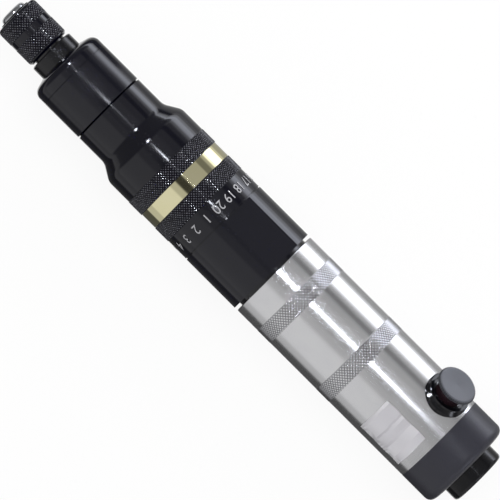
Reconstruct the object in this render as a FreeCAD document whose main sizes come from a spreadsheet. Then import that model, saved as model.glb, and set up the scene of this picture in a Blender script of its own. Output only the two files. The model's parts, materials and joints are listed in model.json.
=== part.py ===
import FreeCAD, Part
import math
import os
import re
import Sketcher

# Inline air screwdriver, millimetres.
# The tool lies along X. The origin is the centre of the bit socket's mouth, +X runs from the
# nose to the air inlet, and +Z is up. Every turned piece is a profile of (x, radius) corners
# revolved about X. Pieces about the reverse button are drawn about its own axis, as (radius,
# height above the tool's axis), and placed with the body's Placement.

PLANET_COUNT = 3
SUN_TEETH = 12
PLANET_TEETH = 18
RING_TEETH = SUN_TEETH + 2 * PLANET_TEETH
VANE_COUNT = 5
BIT_BALL_COUNT = 3
CLUTCH_BALL_COUNT = 6
KEY_NOTCH_COUNT = 12
EXHAUST_HOLE_COUNT = 12
SCREEN_HOLE_COUNT = 6
SLEEVE_SPRING_TURNS = 3
CLUTCH_SPRING_TURNS = 5
THROTTLE_SPRING_TURNS = 6
REVERSE_SPRING_TURNS = 3

# How much of a coil's pitch its wire fills, and of a bearing's section each race takes.
COIL_FILL = 0.55
RACE_SHARE = 0.3
# A gear tooth below and above the pitch line, in modules.
TOOTH_FOOT = 1.25
TOOTH_TIP = 0.9
FLANK_STEPS = 4

SIZES = {
    # fits: radial clearances, and the axial room between pieces that turn past each other
    "running_gap": 0.05,
    "seat_gap": 0.02,
    "loose_gap": 0.2,
    "end_gap": 0.3,
    # lengths shown outside, from the nose to the inlet
    "nose_reach": 1.74,
    "sleeve_length": 17.08,
    "sleeve_gap": 0.76,
    "collar_shown": 5.18,
    "front_cap_length": 6.54,
    "clutch_sleeve_length": 16.35,
    "clutch_groove": 0.52,
    "housing_front_length": 12.13,
    "housing_flare_length": 5.8,
    "housing_rear_length": 16.33,
    "ring_width": 6.43,
    "gear_case_length": 15.14,
    "case_seam": 0.4,
    "motor_housing_length": 23.6,
    "neck_length": 1.2,
    "handle_length": 81.1,
    "rear_cap_length": 13.9,
    "boss_length": 5.9,
    # outer radii, and the small steps between the pieces along the body
    "nose_radius": 5.1,
    "sleeve_radius": 8.56,
    "neck_radius": 6.6,
    "collar_radius": 8.8,
    "nose_body_radius": 14.52,
    "handle_radius": 17.95,
    "motor_step": 0.05,
    "case_step": 0.03,
    "body_step": 0.09,
    "ring_step": 0.24,
    "rear_cap_step": 0.05,
    "boss_radius": 10.96,
    # quick-change chuck
    "hex_across": 6.4,
    "socket_depth": 16,
    "nose_round": 1.5,
    "clip_depth": 0.7,
    "clip_thickness": 0.7,
    "clip_rise": 1.1,
    "washer_thickness": 0.8,
    "washer_radius": 7.05,
    "sleeve_spring_wire": 1.2,
    "sleeve_set_back": 0.56,
    "sleeve_lip": 0.15,
    "sleeve_cone_length": 1.15,
    "sleeve_edge_round": 0.9,
    "sleeve_back_bevel": 1.1,
    "bit_ball_place": 11.2,
    "bit_ball_radius": 1.2,
    "land_half": 1.4,
    "land_length": 3.6,
    # spindle behind the chuck
    "collar_length": 7.42,
    "collar_bevel": 0.4,
    "push_travel": 1.6,
    "stop_room": 1.0,
    "shank_across": 8.0,
    # front cap and clutch sleeve
    "cap_face_rise": 0.3,
    "cap_cone_length": 1.53,
    "cap_round": 3.2,
    "spigot_length": 5.7,
    "thread_wall": 1.57,
    "waist_step": 0.8,
    "groove_depth": 0.35,
    # ball clutch
    "flare_round": 5.0,
    "throat_lip": 2.5,
    "bearing_shoulder": 2.0,
    "bearing_width": 5.0,
    "cam_hub_radius": 6.5,
    "cam_flange": 4.8,
    "clutch_wall": 1.52,
    "cage_room": 0.6,
    "clutch_ball_radius": 1.75,
    "ball_set_in": 0.2,
    "dimple_depth": 0.9,
    "cage_thickness": 2.2,
    "stem_radius": 6.0,
    "seat_thickness": 2.4,
    "clutch_spring_wire": 2.8,
    "land_wall": 1.2,
    "nut_room": 0.4,
    "nut_length": 6.0,
    "nut_notch_radius": 1.6,
    "nut_notch_depth": 3.0,
    "nut_washer_thickness": 1.4,
    "nut_washer_step": 2.4,
    "port_radius": 2.0,
    "land_step": 1.72,
    "land_reach": 4.1,
    # gearbox
    "spigot_wall": 2.175,
    "gear_width": 6.0,
    "gear_backlash": 0.05,
    "gear_rim": 1.15,
    "pressure_angle": 25,
    "planet_pin_radius": 1.5,
    "carrier_bearing_radius": 10.0,
    "bearing_set_back": 1.2,
    "recess_wall": 2.93,
    "web_lip": 1.15,
    "carrier_thickness": 2.6,
    "carrier_room": 2.975,
    "web_thickness": 0.8,
    "carrier_shank_across": 7.0,
    "carrier_shank_length": 4.8,
    "case_spigot_step": 2.03,
    "case_spigot_length": 5.6,
    "seam_depth": 0.5,
    # vane motor
    "flat_depth": 1.29,
    "flat_angle": 23.8,
    "neck_step": 2.45,
    "neck_reach": 11.0,
    "handle_wall": 3.75,
    "plate_thickness": 5.0,
    "plate_web": 6.16,
    "liner_length": 37.0,
    "liner_wall": 3.0,
    "liner_offset": 1.0,
    "rotor_gap": 0.1,
    "vane_slot": 1.6,
    "vane_thickness": 1.5,
    "vane_height": 5.0,
    "vane_set_in": 0.1,
    "locating_pin_radius": 0.9,
    "locating_pin_set_in": 1.86,
    "locating_pin_bite": 4.0,
    "push_rod_radius": 1.25,
    "push_bore": 1.4,
    # throttle
    "chamber_radius": 6.5,
    "chamber_length": 19.0,
    "throttle_seat_length": 4.0,
    "throttle_seat_bore": 3.2,
    "poppet_radius": 4.8,
    "poppet_thickness": 3.0,
    "poppet_stem_radius": 1.5,
    "poppet_stem_length": 6.0,
    "throttle_spring_radius": 3.4,
    "throttle_spring_wire": 0.9,
    "air_passage": 3.0,
    "block_seal_width": 1.8,
    "block_seal_depth": 1.3,
    "block_seal_place": 24.0,
    # reverse button
    "button_angle": 47,
    "button_back": 9.1,
    "button_bore": 5.25,
    "button_floor": 4.0,
    "button_port": 1.2,
    "button_travel": 2.5,
    "button_stem_radius": 5.2,
    "reverse_spring_block": 1.5,
    "button_rise": 6.55,
    "button_head_radius": 7.5,
    "button_head_thickness": 1.3,
    "button_bevel": 0.5,
    "button_dish": 0.35,
    "collar_ring_radius": 7.7,
    "collar_ring_rise": 1.4,
    "collar_recess_radius": 6.6,
    "collar_recess_depth": 1.0,
    "collar_skirt_radius": 8.8,
    "collar_skirt_height": 0.6,
    "collar_spigot_radius": 6.9,
    "collar_spigot_depth": 3.2,
    "button_seal_drop": 0.48,
    "button_seal_width": 1.2,
    "button_seal_depth": 0.9,
    "reverse_spring_radius": 3.1,
    "reverse_spring_wire": 0.7,
    # rear cap and inlet
    "handle_round": 0.5,
    "rear_cap_round": 2.8,
    "rear_cap_wall": 2.0,
    "rear_wall": 3.2,
    "register_length": 3.0,
    "block_step": 2.66,
    "shank_radius": 8.0,
    "inlet_shank_length": 14.0,
    "boss_round": 1.2,
    "inlet_radius": 5.65,
    "inlet_depth": 14.0,
    "screen_radius": 5.0,
    "screen_thickness": 1.0,
    "screen_hole": 1.0,
    "screen_ring": 2.7,
    "inlet_bore": 4.0,
    "exhaust_hole": 1.0,
}

# Radii and places along X that one piece takes from another.
PLACES = {
    "motor_radius": "handle_radius + motor_step",
    "case_radius": "motor_radius + case_step",
    "body_radius": "case_radius + body_step",
    "ring_radius": "body_radius - ring_step",
    "rear_cap_radius": "handle_radius - rear_cap_step",
    "thread_radius": "nose_body_radius - thread_wall",
    "clutch_bore": "nose_body_radius - clutch_wall",
    "cam_bearing_radius": "clutch_bore - bearing_shoulder",
    "housing_throat": "cam_bearing_radius - throat_lip",
    "cage_radius": "clutch_bore - cage_room",
    "clutch_ball_ring": "(stem_radius + cage_radius) / 2 - ball_set_in",
    "land_radius": "body_radius - land_step",
    "recess_radius": "land_radius - recess_wall",
    "nut_bore": "land_radius - land_wall",
    "nut_radius": "nut_bore - nut_room",
    "case_spigot_radius": "motor_radius - case_spigot_step",
    "gear_module": "(case_spigot_radius - spigot_wall - seat_gap - gear_rim)"
                   f" / ({RING_TEETH} / 2 + {TOOTH_FOOT})",
    "sun_radius": f"gear_module * {SUN_TEETH} / 2",
    "planet_radius": f"gear_module * {PLANET_TEETH} / 2",
    "planet_place": "sun_radius + planet_radius",
    "ring_pitch_radius": "planet_place + planet_radius",
    "ring_outer": f"ring_pitch_radius + {TOOTH_FOOT} * gear_module + gear_rim",
    "carrier_radius": "ring_outer - carrier_room",
    "motor_bore": "handle_radius - handle_wall",
    "plate_radius": "motor_bore - 2 * seat_gap",
    "rotor_bearing_radius": "plate_radius - plate_web",
    "rotor_shaft_radius": "rotor_bearing_radius / 2",
    "neck_outer": "handle_radius - neck_step",
    "liner_bore": "motor_bore - liner_wall",
    "rotor_radius": "liner_bore - liner_offset - rotor_gap",
    "locating_pin_height": "plate_radius - locating_pin_set_in",
    "block_neck_radius": "plate_radius - block_step",
    "cap_cavity_radius": "rear_cap_radius - rear_cap_wall",
    "exhaust_ring": "(block_neck_radius + cap_cavity_radius) / 2",
    "button_top": "handle_radius + button_rise",
    "collar_ring_top": "handle_radius + collar_ring_rise",
    "button_stem_floor": "button_floor + button_travel + reverse_spring_block",
    "button_seal_place": "(button_stem_floor + plate_radius) / 2 - button_seal_drop",
    "sleeve_front": "nose_reach + sleeve_set_back",
    "sleeve_back": "nose_reach + sleeve_length",
    "clip_back": "nose_reach + clip_thickness",
    "washer_back": "clip_back + washer_thickness",
    "land_back": "bit_ball_place + land_half",
    "land_front": "land_back - land_length",
    "collar_front": "sleeve_back + sleeve_gap",
    "collar_back": "collar_front + collar_length",
    "cap_front": "collar_front + collar_shown",
    "cap_back": "cap_front + front_cap_length",
    "cap_bore": "collar_radius + loose_gap",
    "cap_spigot_back": "cap_back + spigot_length",
    "bush_front": "collar_back + push_travel + stop_room",
    "spindle_clip_front": "cap_spigot_back + end_gap",
    "spindle_clip_back": "spindle_clip_front + clip_thickness",
    "shank_front": "spindle_clip_back + clip_thickness",
    "clutch_sleeve_back": "cap_back + clutch_sleeve_length",
    "housing_spigot_front": "clutch_sleeve_back - spigot_length",
    "housing_front": "clutch_sleeve_back + clutch_groove",
    "flare_front": "housing_front + housing_front_length",
    "flare_back": "flare_front + housing_flare_length",
    "housing_back": "flare_back + housing_rear_length",
    "cam_bearing_back": "housing_front + bearing_width",
    "cam_front": "housing_front + end_gap",
    "cam_flange_front": "cam_bearing_back + end_gap",
    "cam_back": "cam_flange_front + cam_flange",
    "shank_back": "cam_back - push_travel - end_gap",
    "clutch_ball_place": "cam_back + clutch_ball_radius - dimple_depth",
    "cage_front": "cam_back + end_gap",
    "cage_back": "cage_front + cage_thickness",
    "seat_front": "clutch_ball_place + clutch_ball_radius",
    "seat_back": "seat_front + seat_thickness",
    "nut_back": "housing_back + ring_width - end_gap",
    "nut_front": "nut_back - nut_length",
    "nut_washer_front": "nut_front - nut_washer_thickness",
    "port_place": "housing_back + ring_width / 2",
    "case_front": "housing_back + ring_width",
    "land_back_end": "case_front + land_reach",
    "case_back": "case_front + gear_case_length",
    "motor_front": "case_back + case_seam",
    "case_spigot_back": "motor_front + case_spigot_length",
    "carrier_bearing_front": "case_front + bearing_set_back",
    "carrier_bearing_back": "carrier_bearing_front + bearing_width",
    "stem_back": "carrier_bearing_front - end_gap",
    "web_back": "carrier_bearing_back + web_thickness",
    "carrier_front": "web_back + end_gap",
    "carrier_back": "carrier_front + carrier_thickness",
    "gear_front": "carrier_back + end_gap",
    "gear_back": "gear_front + gear_width",
    "front_plate_back": "case_spigot_back + plate_thickness",
    "liner_back": "front_plate_back + liner_length",
    "rear_plate_back": "liner_back + plate_thickness",
    "rotor_front": "front_plate_back + end_gap",
    "rotor_back": "liner_back - end_gap",
    "motor_back": "motor_front + motor_housing_length",
    "handle_front": "motor_back + neck_length",
    "neck_back": "handle_front + neck_reach",
    "handle_back": "handle_front + handle_length",
    "button_place": "handle_back - button_back",
    "throttle_seat_back": "rear_plate_back + throttle_seat_length",
    "poppet_back": "throttle_seat_back + poppet_thickness",
    "poppet_end": "poppet_back + poppet_stem_length",
    "chamber_back": "rear_plate_back + chamber_length",
    "seal_front": "rear_plate_back + block_seal_place",
    "seal_back": "seal_front + block_seal_width",
    "register_back": "handle_back + register_length",
    "rear_cap_back": "handle_back + rear_cap_length",
    "rear_wall_front": "rear_cap_back - rear_wall",
    "inlet_back": "rear_cap_back + boss_length",
    "inlet_shank_front": "rear_cap_back - inlet_shank_length",
    "inlet_floor": "inlet_back - inlet_depth",
    "screen_front": "inlet_floor - screen_thickness",
}

doc = FreeCAD.newDocument("inline_air_screwdriver")


def fill_sheet(label, cells, mark):
    """One row for each cell: its name in column A, its number or formula in column B."""
    sheet = doc.addObject("Spreadsheet::Sheet", label)
    for row, (name, value) in enumerate(cells.items(), 1):
        sheet.set(f"A{row}", name)
        sheet.set(f"B{row}", mark + str(value))
        sheet.setAlias(f"B{row}", name)
    return sheet


def bound(expression):
    """The expression with each size and place led by the name of its sheet."""
    def lead(word):
        if word[0] in SIZES:
            return "sizes." + word[0]
        return "places." + word[0] if word[0] in PLACES else word[0]
    return re.sub(r"[A-Za-z_]\w*", lead, str(expression))


def number(expression):
    """What the expression comes to, as a plain number."""
    return float(sizes.evalExpression(bound(expression)))


def bind(thing, path, expression):
    """Ties a property or a constraint to the sheets."""
    thing.setExpression(path, bound(expression))


sizes = fill_sheet("sizes", SIZES, "")
places = fill_sheet("places", {name: bound(value) for name, value in PLACES.items()}, "=")
doc.recompute()


def new_body(label):
    body = doc.addObject("PartDesign::Body", label)
    body.Label = label
    return body


def new_sketch(body, role, offset=None):
    """A sketch on one of the body's own origin planes, moved along its normal by an expression."""
    sketch = body.newObject("Sketcher::SketchObject", body.Label + "_sketch")
    plane = next(f for f in body.Origin.OriginFeatures if f.Role == role)
    sketch.AttachmentSupport = (plane, [""])
    sketch.MapMode = "FlatFace"
    if offset is not None:
        bind(sketch, "AttachmentOffset.Base.z", offset)
    return sketch


def pin_point(sketch, geometry, position, corner):
    """Holds a point at its distances from the sketch's origin."""
    for kind, expression in zip(("DistanceX", "DistanceY"), corner):
        value = number(expression)
        index = sketch.addConstraint(Sketcher.Constraint(kind, -1, 1, geometry, position, value))
        if value:
            bind(sketch, f"Constraints[{index}]", expression)


def outline(sketch, corners):
    """A closed outline through the corners. A third entry is the radius that rounds its corner."""
    points = [FreeCAD.Vector(number(c[0]), number(c[1]), 0) for c in corners]
    radii = [number(c[2]) if len(c) > 2 else 0 for c in corners]
    starts, ends, centres = list(points), list(points), {}
    for i, radius in enumerate(radii):
        if not radius:
            continue
        inward = (points[i] - points[i - 1]).normalize()
        outward = (points[(i + 1) % len(points)] - points[i]).normalize()
        turn = inward.getAngle(outward)
        reach = radius * math.tan(turn / 2)
        ends[i] = points[i] - inward * reach
        starts[i] = points[i] + outward * reach
        side = 1 if inward.cross(outward).z > 0 else -1
        centres[i] = (ends[i] + FreeCAD.Vector(-inward.y, inward.x, 0) * side * radius, side)
    lines = []
    for i in range(len(points)):
        segment = Part.LineSegment(starts[i], ends[(i + 1) % len(points)])
        lines.append(sketch.addGeometry(segment, False))
    for i, corner in enumerate(corners):
        before, after = lines[i - 1], lines[i]
        if i not in centres:
            sketch.addConstraint(Sketcher.Constraint("Coincident", before, 2, after, 1))
            pin_point(sketch, after, 1, corner)
            continue
        centre, side = centres[i]
        first, last = (ends[i], starts[i]) if side > 0 else (starts[i], ends[i])
        angles = [math.atan2(p.y - centre.y, p.x - centre.x) for p in (first, last)]
        circle = Part.Circle(centre, FreeCAD.Vector(0, 0, 1), radii[i])
        arc = sketch.addGeometry(Part.ArcOfCircle(circle, *angles), False)
        at_before, at_after = (1, 2) if side > 0 else (2, 1)
        point = sketch.addGeometry(Part.Point(points[i]), True)
        pin_point(sketch, point, 1, corner)
        sketch.addConstraint(Sketcher.Constraint("PointOnObject", point, 1, before))
        sketch.addConstraint(Sketcher.Constraint("PointOnObject", point, 1, after))
        sketch.addConstraint(Sketcher.Constraint("Tangent", before, 2, arc, at_before))
        sketch.addConstraint(Sketcher.Constraint("Tangent", arc, at_after, after, 1))
        index = sketch.addConstraint(Sketcher.Constraint("Radius", arc, radii[i]))
        bind(sketch, f"Constraints[{index}]", corner[2])


def circle(sketch, centre, radius):
    middle = FreeCAD.Vector(number(centre[0]), number(centre[1]), 0)
    ring = Part.Circle(middle, FreeCAD.Vector(0, 0, 1), number(radius))
    geometry = sketch.addGeometry(ring, False)
    pin_point(sketch, geometry, 3, centre)
    index = sketch.addConstraint(Sketcher.Constraint("Radius", geometry, number(radius)))
    bind(sketch, f"Constraints[{index}]", radius)


def hexagon(sketch, across):
    """A hexagon about the sketch's origin, with flats above and below."""
    half = f"({across}) / 2"
    point = f"({across}) / sqrt(3)"
    quarter = f"({across}) / sqrt(12)"
    outline(sketch, [
        (point, "0"), (quarter, half), (f"-{quarter}", half),
        (f"-{point}", "0"), (f"-{quarter}", f"-{half}"), (quarter, f"-{half}"),
    ])


def revolve(body, corners, role="XY_Plane", axis="H_Axis", kind="PartDesign::Revolution"):
    sketch = new_sketch(body, role)
    outline(sketch, corners)
    feature = body.newObject(kind, body.Label + "_turned")
    feature.Profile = sketch
    feature.ReferenceAxis = (sketch, [axis])
    feature.Angle = 360
    sketch.Visibility = False
    doc.recompute()
    return feature


def turned(label, corners):
    """A piece turned about the tool's axis."""
    body = new_body(label)
    revolve(body, corners)
    return body


def ring(label, front, back, inner, outer):
    """A plain ring about the tool's axis."""
    return turned(label, [(front, inner), (front, outer), (back, outer), (back, inner)])


def cut(body, sketch, depth=None, away=False, through=False):
    """A pocket of the sketch: to a depth, or through. It runs against the normal unless away."""
    pocket = body.newObject("PartDesign::Pocket", body.Label + "_pocket")
    pocket.Profile = sketch
    before = body.Shape.Volume
    if depth is None:
        pocket.Type = "ThroughAll"
    else:
        bind(pocket, "Length", depth)
    if through:
        pocket.SideType = "Symmetric"
    pocket.Reversed = away
    sketch.Visibility = False
    doc.recompute()
    if not body.Shape.Volume < before:
        raise ValueError(body.Label + ": a pocket cut nothing")
    return pocket


def pad(body, sketch, length):
    """A pad of the sketch along its normal."""
    feature = body.newObject("PartDesign::Pad", body.Label + "_pad")
    feature.Profile = sketch
    bind(feature, "Length", length)
    sketch.Visibility = False
    doc.recompute()
    return feature


def repeat_about(body, feature, count, role="X_Axis"):
    """Copies of a feature, evenly round one of the body's own axes."""
    pattern = body.newObject("PartDesign::PolarPattern", body.Label + "_pattern")
    pattern.Originals = [feature]
    axis = next(f for f in body.Origin.OriginFeatures if f.Role == role)
    pattern.Axis = (axis, [""])
    pattern.Angle = 360
    pattern.Occurrences = count
    body.Tip = pattern
    doc.recompute()
    return pattern


def turn_body(body, angle, place=None):
    """Turns a body about X, so that its own +Z leans towards +Y, and moves it along X."""
    body.Placement = FreeCAD.Placement(
        FreeCAD.Vector(), FreeCAD.Rotation(FreeCAD.Vector(-1, 0, 0), number(angle))
    )
    bind(body, "Placement.Rotation.Angle", f"{angle} * 1deg")
    if place:
        bind(body, "Placement.Base.x", place)


def solid_piece(label, shape, placement=None):
    """A piece whose shape is worked out here from the sheets."""
    piece = doc.addObject("Part::Feature", label)
    piece.Label = label
    piece.Shape = shape
    if placement is not None:
        piece.Placement = placement.multiply(shape.Placement)
    return piece


def along_x(place):
    """Places a shape drawn up Z so that it runs along X from the given place."""
    turn = FreeCAD.Rotation(FreeCAD.Vector(0, 1, 0), 90)
    return FreeCAD.Placement(FreeCAD.Vector(number(place), 0, 0), turn)


def about_button(height):
    """Places a shape drawn up Z on the button's axis, at a height above the tool's axis."""
    turn = FreeCAD.Rotation(FreeCAD.Vector(-1, 0, 0), number("button_angle"))
    foot = turn.multVec(FreeCAD.Vector(0, 0, number(height)))
    return FreeCAD.Placement(foot + FreeCAD.Vector(number("button_place"), 0, 0), turn)


def flat_wire_coil(radius, wire, length, turns):
    """A compression spring of flat wire, from z = 0 to its length: a rectangle along a helix."""
    mean, width, span = number(radius), number(wire), number(length)
    thickness = COIL_FILL * span / turns
    rise = span - thickness
    helix = Part.makeHelix(rise / turns, rise, mean)
    section = Part.makePolygon([
        FreeCAD.Vector(mean + side * width / 2, 0, level * thickness / 2)
        for side, level in ((-1, -1), (1, -1), (1, 1), (-1, 1), (-1, -1))
    ])
    coil = Part.Wire(helix.Edges).makePipeShell([section], True, True)
    coil.translate(FreeCAD.Vector(0, 0, thickness / 2))
    return coil


def ball_group(label, count, radius, ring_radius, place):
    """Equal balls, evenly round the tool's axis, the first one on +Z."""
    balls = []
    for i in range(count):
        angle = 2 * math.pi * i / count
        centre = FreeCAD.Vector(
            number(place),
            -number(ring_radius) * math.sin(angle),
            number(ring_radius) * math.cos(angle),
        )
        balls.append(Part.makeSphere(number(radius), centre))
    return solid_piece(label, Part.makeCompound(balls))


def involute_angle(base, radius):
    """How far round the base circle's involute has come at a radius."""
    if radius <= base:
        return 0
    slope = math.sqrt((radius / base) ** 2 - 1)
    return slope - math.atan(slope)


def gear_prism(teeth, foot, tip, thinning, width, turn):
    """Involute teeth between two radii, drawn up Z. Thinning narrows each tooth at the pitch line.

    A flank is a few straight runs between points on the involute. A negative thinning widens
    the teeth, as the tool that cuts an inner ring of teeth has them.
    """
    pitch = number("gear_module") * teeth / 2
    base = pitch * math.cos(math.radians(number("pressure_angle")))
    half = math.pi / (2 * teeth) - thinning / (2 * pitch) + involute_angle(base, pitch)
    low = max(foot, base)
    flank = [foot] if foot < base else []
    flank += [low + (tip - low) * k / FLANK_STEPS for k in range(FLANK_STEPS + 1)]
    points = []
    for tooth in range(teeth):
        middle = turn + 2 * math.pi * tooth / teeth
        rising = [(r, middle - half + involute_angle(base, r)) for r in flank]
        falling = [(r, 2 * middle - a) for r, a in reversed(rising)]
        points += [(r * math.cos(a), r * math.sin(a)) for r, a in rising + falling]
    corners = [FreeCAD.Vector(x, y, 0) for x, y in points]
    face = Part.Face(Part.makePolygon(corners + corners[:1]))
    return face.extrude(FreeCAD.Vector(0, 0, width))


def outer_gear(teeth, turn, bore, width):
    """A gear with outer teeth and a round bore, drawn up Z."""
    module = number("gear_module")
    pitch = module * teeth / 2
    foot = pitch - TOOTH_FOOT * module
    tip = pitch + TOOTH_TIP * module
    gear = gear_prism(teeth, foot, tip, number("gear_backlash"), width, turn)
    return gear.cut(Part.makeCylinder(bore, width))


def make_chuck():
    """The quick-change chuck: a hex socket whose balls are held in by a sprung sleeve."""
    spindle = turned("spindle", [
        ("0", "0"),
        ("0", "nose_radius", "nose_round"),
        ("nose_reach", "nose_radius"),
        ("nose_reach", "nose_radius - clip_depth"),
        ("clip_back", "nose_radius - clip_depth"),
        ("clip_back", "nose_radius"),
        ("land_back", "nose_radius"),
        ("land_back", "neck_radius"),
        ("spindle_clip_front", "neck_radius"),
        ("spindle_clip_front", "neck_radius - clip_depth"),
        ("spindle_clip_back", "neck_radius - clip_depth"),
        ("spindle_clip_back", "neck_radius"),
        ("shank_front", "neck_radius"),
        ("shank_front", "0"),
    ])
    shank = new_sketch(spindle, "YZ_Plane", "shank_front")
    hexagon(shank, "shank_across")
    pad(spindle, shank, "shank_back - shank_front")
    socket = new_sketch(spindle, "YZ_Plane")
    hexagon(socket, "hex_across")
    cut(spindle, socket, "socket_depth", away=True)
    window = new_sketch(spindle, "XY_Plane")
    circle(window, ("bit_ball_place", "0"), "bit_ball_radius + running_gap")
    repeat_about(spindle, cut(spindle, window, away=True), BIT_BALL_COUNT)

    held_in = "nose_radius - bit_ball_radius"
    ball_group("bit_balls", BIT_BALL_COUNT, "bit_ball_radius", held_in, "bit_ball_place")
    ring(
        "sleeve_retaining_ring", "nose_reach + seat_gap", "clip_back - seat_gap",
        "nose_radius - clip_depth + seat_gap", "nose_radius + clip_rise",
    )
    ring(
        "sleeve_washer", "clip_back - seat_gap", "washer_back",
        "nose_radius + running_gap", "washer_radius",
    )
    spring_length = "land_front - washer_back"
    solid_piece(
        "sleeve_spring",
        flat_wire_coil("(nose_radius + washer_radius) / 2", "sleeve_spring_wire",
                       spring_length, SLEEVE_SPRING_TURNS),
        along_x("washer_back"),
    )
    front_bore = "washer_radius + running_gap"
    turned("chuck_sleeve", [
        ("sleeve_front", front_bore),
        ("sleeve_front", "washer_radius + sleeve_lip"),
        ("sleeve_front + sleeve_cone_length", "sleeve_radius", "sleeve_edge_round"),
        ("sleeve_back - sleeve_back_bevel", "sleeve_radius"),
        ("sleeve_back", "sleeve_radius - sleeve_back_bevel"),
        ("sleeve_back", "neck_radius + running_gap"),
        ("land_back", "neck_radius + running_gap"),
        ("land_back", "nose_radius + running_gap"),
        ("land_front", "nose_radius + running_gap"),
        ("land_front", front_bore),
    ])
    turned("spindle_collar", [
        ("collar_front", "neck_radius + seat_gap"),
        ("collar_front", "collar_radius - collar_bevel"),
        ("collar_front + collar_bevel", "collar_radius"),
        ("collar_back - collar_bevel", "collar_radius"),
        ("collar_back", "collar_radius - collar_bevel"),
        ("collar_back", "neck_radius + seat_gap"),
    ])
    ring(
        "spindle_retaining_ring", "spindle_clip_front + seat_gap",
        "spindle_clip_back - seat_gap", "neck_radius - clip_depth + seat_gap",
        "neck_radius + clip_rise",
    )


def make_nose():
    """Front cap with its bush, and the plain sleeve behind it."""
    turned("front_cap", [
        ("cap_front", "cap_bore"),
        ("cap_front", "cap_bore + cap_face_rise"),
        ("cap_front + cap_cone_length", "nose_body_radius", "cap_round"),
        ("cap_back", "nose_body_radius"),
        ("cap_back", "thread_radius"),
        ("cap_spigot_back", "thread_radius"),
        ("cap_spigot_back", "cap_bore"),
    ])
    ring(
        "spindle_bush", "bush_front", "cap_spigot_back",
        "neck_radius + running_gap", "cap_bore - seat_gap",
    )
    socket = "thread_radius + seat_gap"
    waist = "thread_radius - waist_step"
    turned("clutch_sleeve", [
        ("cap_back", socket),
        ("cap_back", "nose_body_radius"),
        ("clutch_sleeve_back", "nose_body_radius"),
        ("clutch_sleeve_back", socket),
        ("housing_spigot_front - end_gap", socket),
        ("housing_spigot_front - end_gap", waist),
        ("cap_spigot_back + end_gap", waist),
        ("cap_spigot_back + end_gap", socket),
    ])


def make_clutch_housing():
    """The flared housing, with the land that the turning ring runs on and the key port."""
    housing = turned("clutch_housing", [
        ("housing_spigot_front", "housing_throat"),
        ("housing_spigot_front", "thread_radius"),
        ("clutch_sleeve_back", "thread_radius"),
        ("clutch_sleeve_back", "nose_body_radius - groove_depth"),
        ("housing_front", "nose_body_radius - groove_depth"),
        ("housing_front", "nose_body_radius"),
        ("flare_front", "nose_body_radius", "flare_round"),
        ("flare_back", "body_radius", "flare_round"),
        ("housing_back", "body_radius"),
        ("housing_back", "land_radius"),
        ("land_back_end", "land_radius"),
        ("land_back_end", "nut_bore"),
        ("flare_back + end_gap", "nut_bore"),
        ("flare_back + end_gap", "clutch_bore"),
        ("cam_bearing_back + end_gap", "clutch_bore"),
        ("cam_bearing_back + end_gap", "cam_bearing_radius + seat_gap"),
        ("housing_front", "cam_bearing_radius + seat_gap"),
        ("housing_front", "housing_throat"),
    ])
    port = new_sketch(housing, "XY_Plane")
    circle(port, ("port_place", "0"), "port_radius")
    cut(housing, port)

    adjust_ring = ring(
        "adjust_ring", "housing_back + running_gap", "case_front - running_gap",
        "land_radius + running_gap", "ring_radius",
    )
    window = new_sketch(adjust_ring, "XY_Plane")
    circle(window, ("port_place", "0"), "port_radius")
    cut(adjust_ring, window)


def bearing(label, front, bore, outer):
    """A shielded ball bearing as one ring, with a shallow groove in each face over its balls."""
    back = f"{front} + bearing_width"
    race = f"({outer} - ({bore})) * {RACE_SHARE}"
    inner_edge = f"{bore} + {race}"
    outer_edge = f"{outer} - {race}"
    return turned(label, [
        (front, bore), (front, inner_edge),
        (f"{front} + end_gap", inner_edge), (f"{front} + end_gap", outer_edge),
        (front, outer_edge), (front, outer),
        (back, outer), (back, outer_edge),
        (f"{back} - end_gap", outer_edge), (f"{back} - end_gap", inner_edge),
        (back, inner_edge), (back, bore),
    ])


def cut_balls(body_label, shape, count, radius, ring_radius, place):
    """The shape less a ring of ball pockets."""
    for i in range(count):
        angle = 2 * math.pi * i / count
        centre = FreeCAD.Vector(
            number(place),
            -number(ring_radius) * math.sin(angle),
            number(ring_radius) * math.cos(angle),
        )
        shape = shape.cut(Part.makeSphere(number(radius), centre))
    return solid_piece(body_label, shape)


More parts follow.
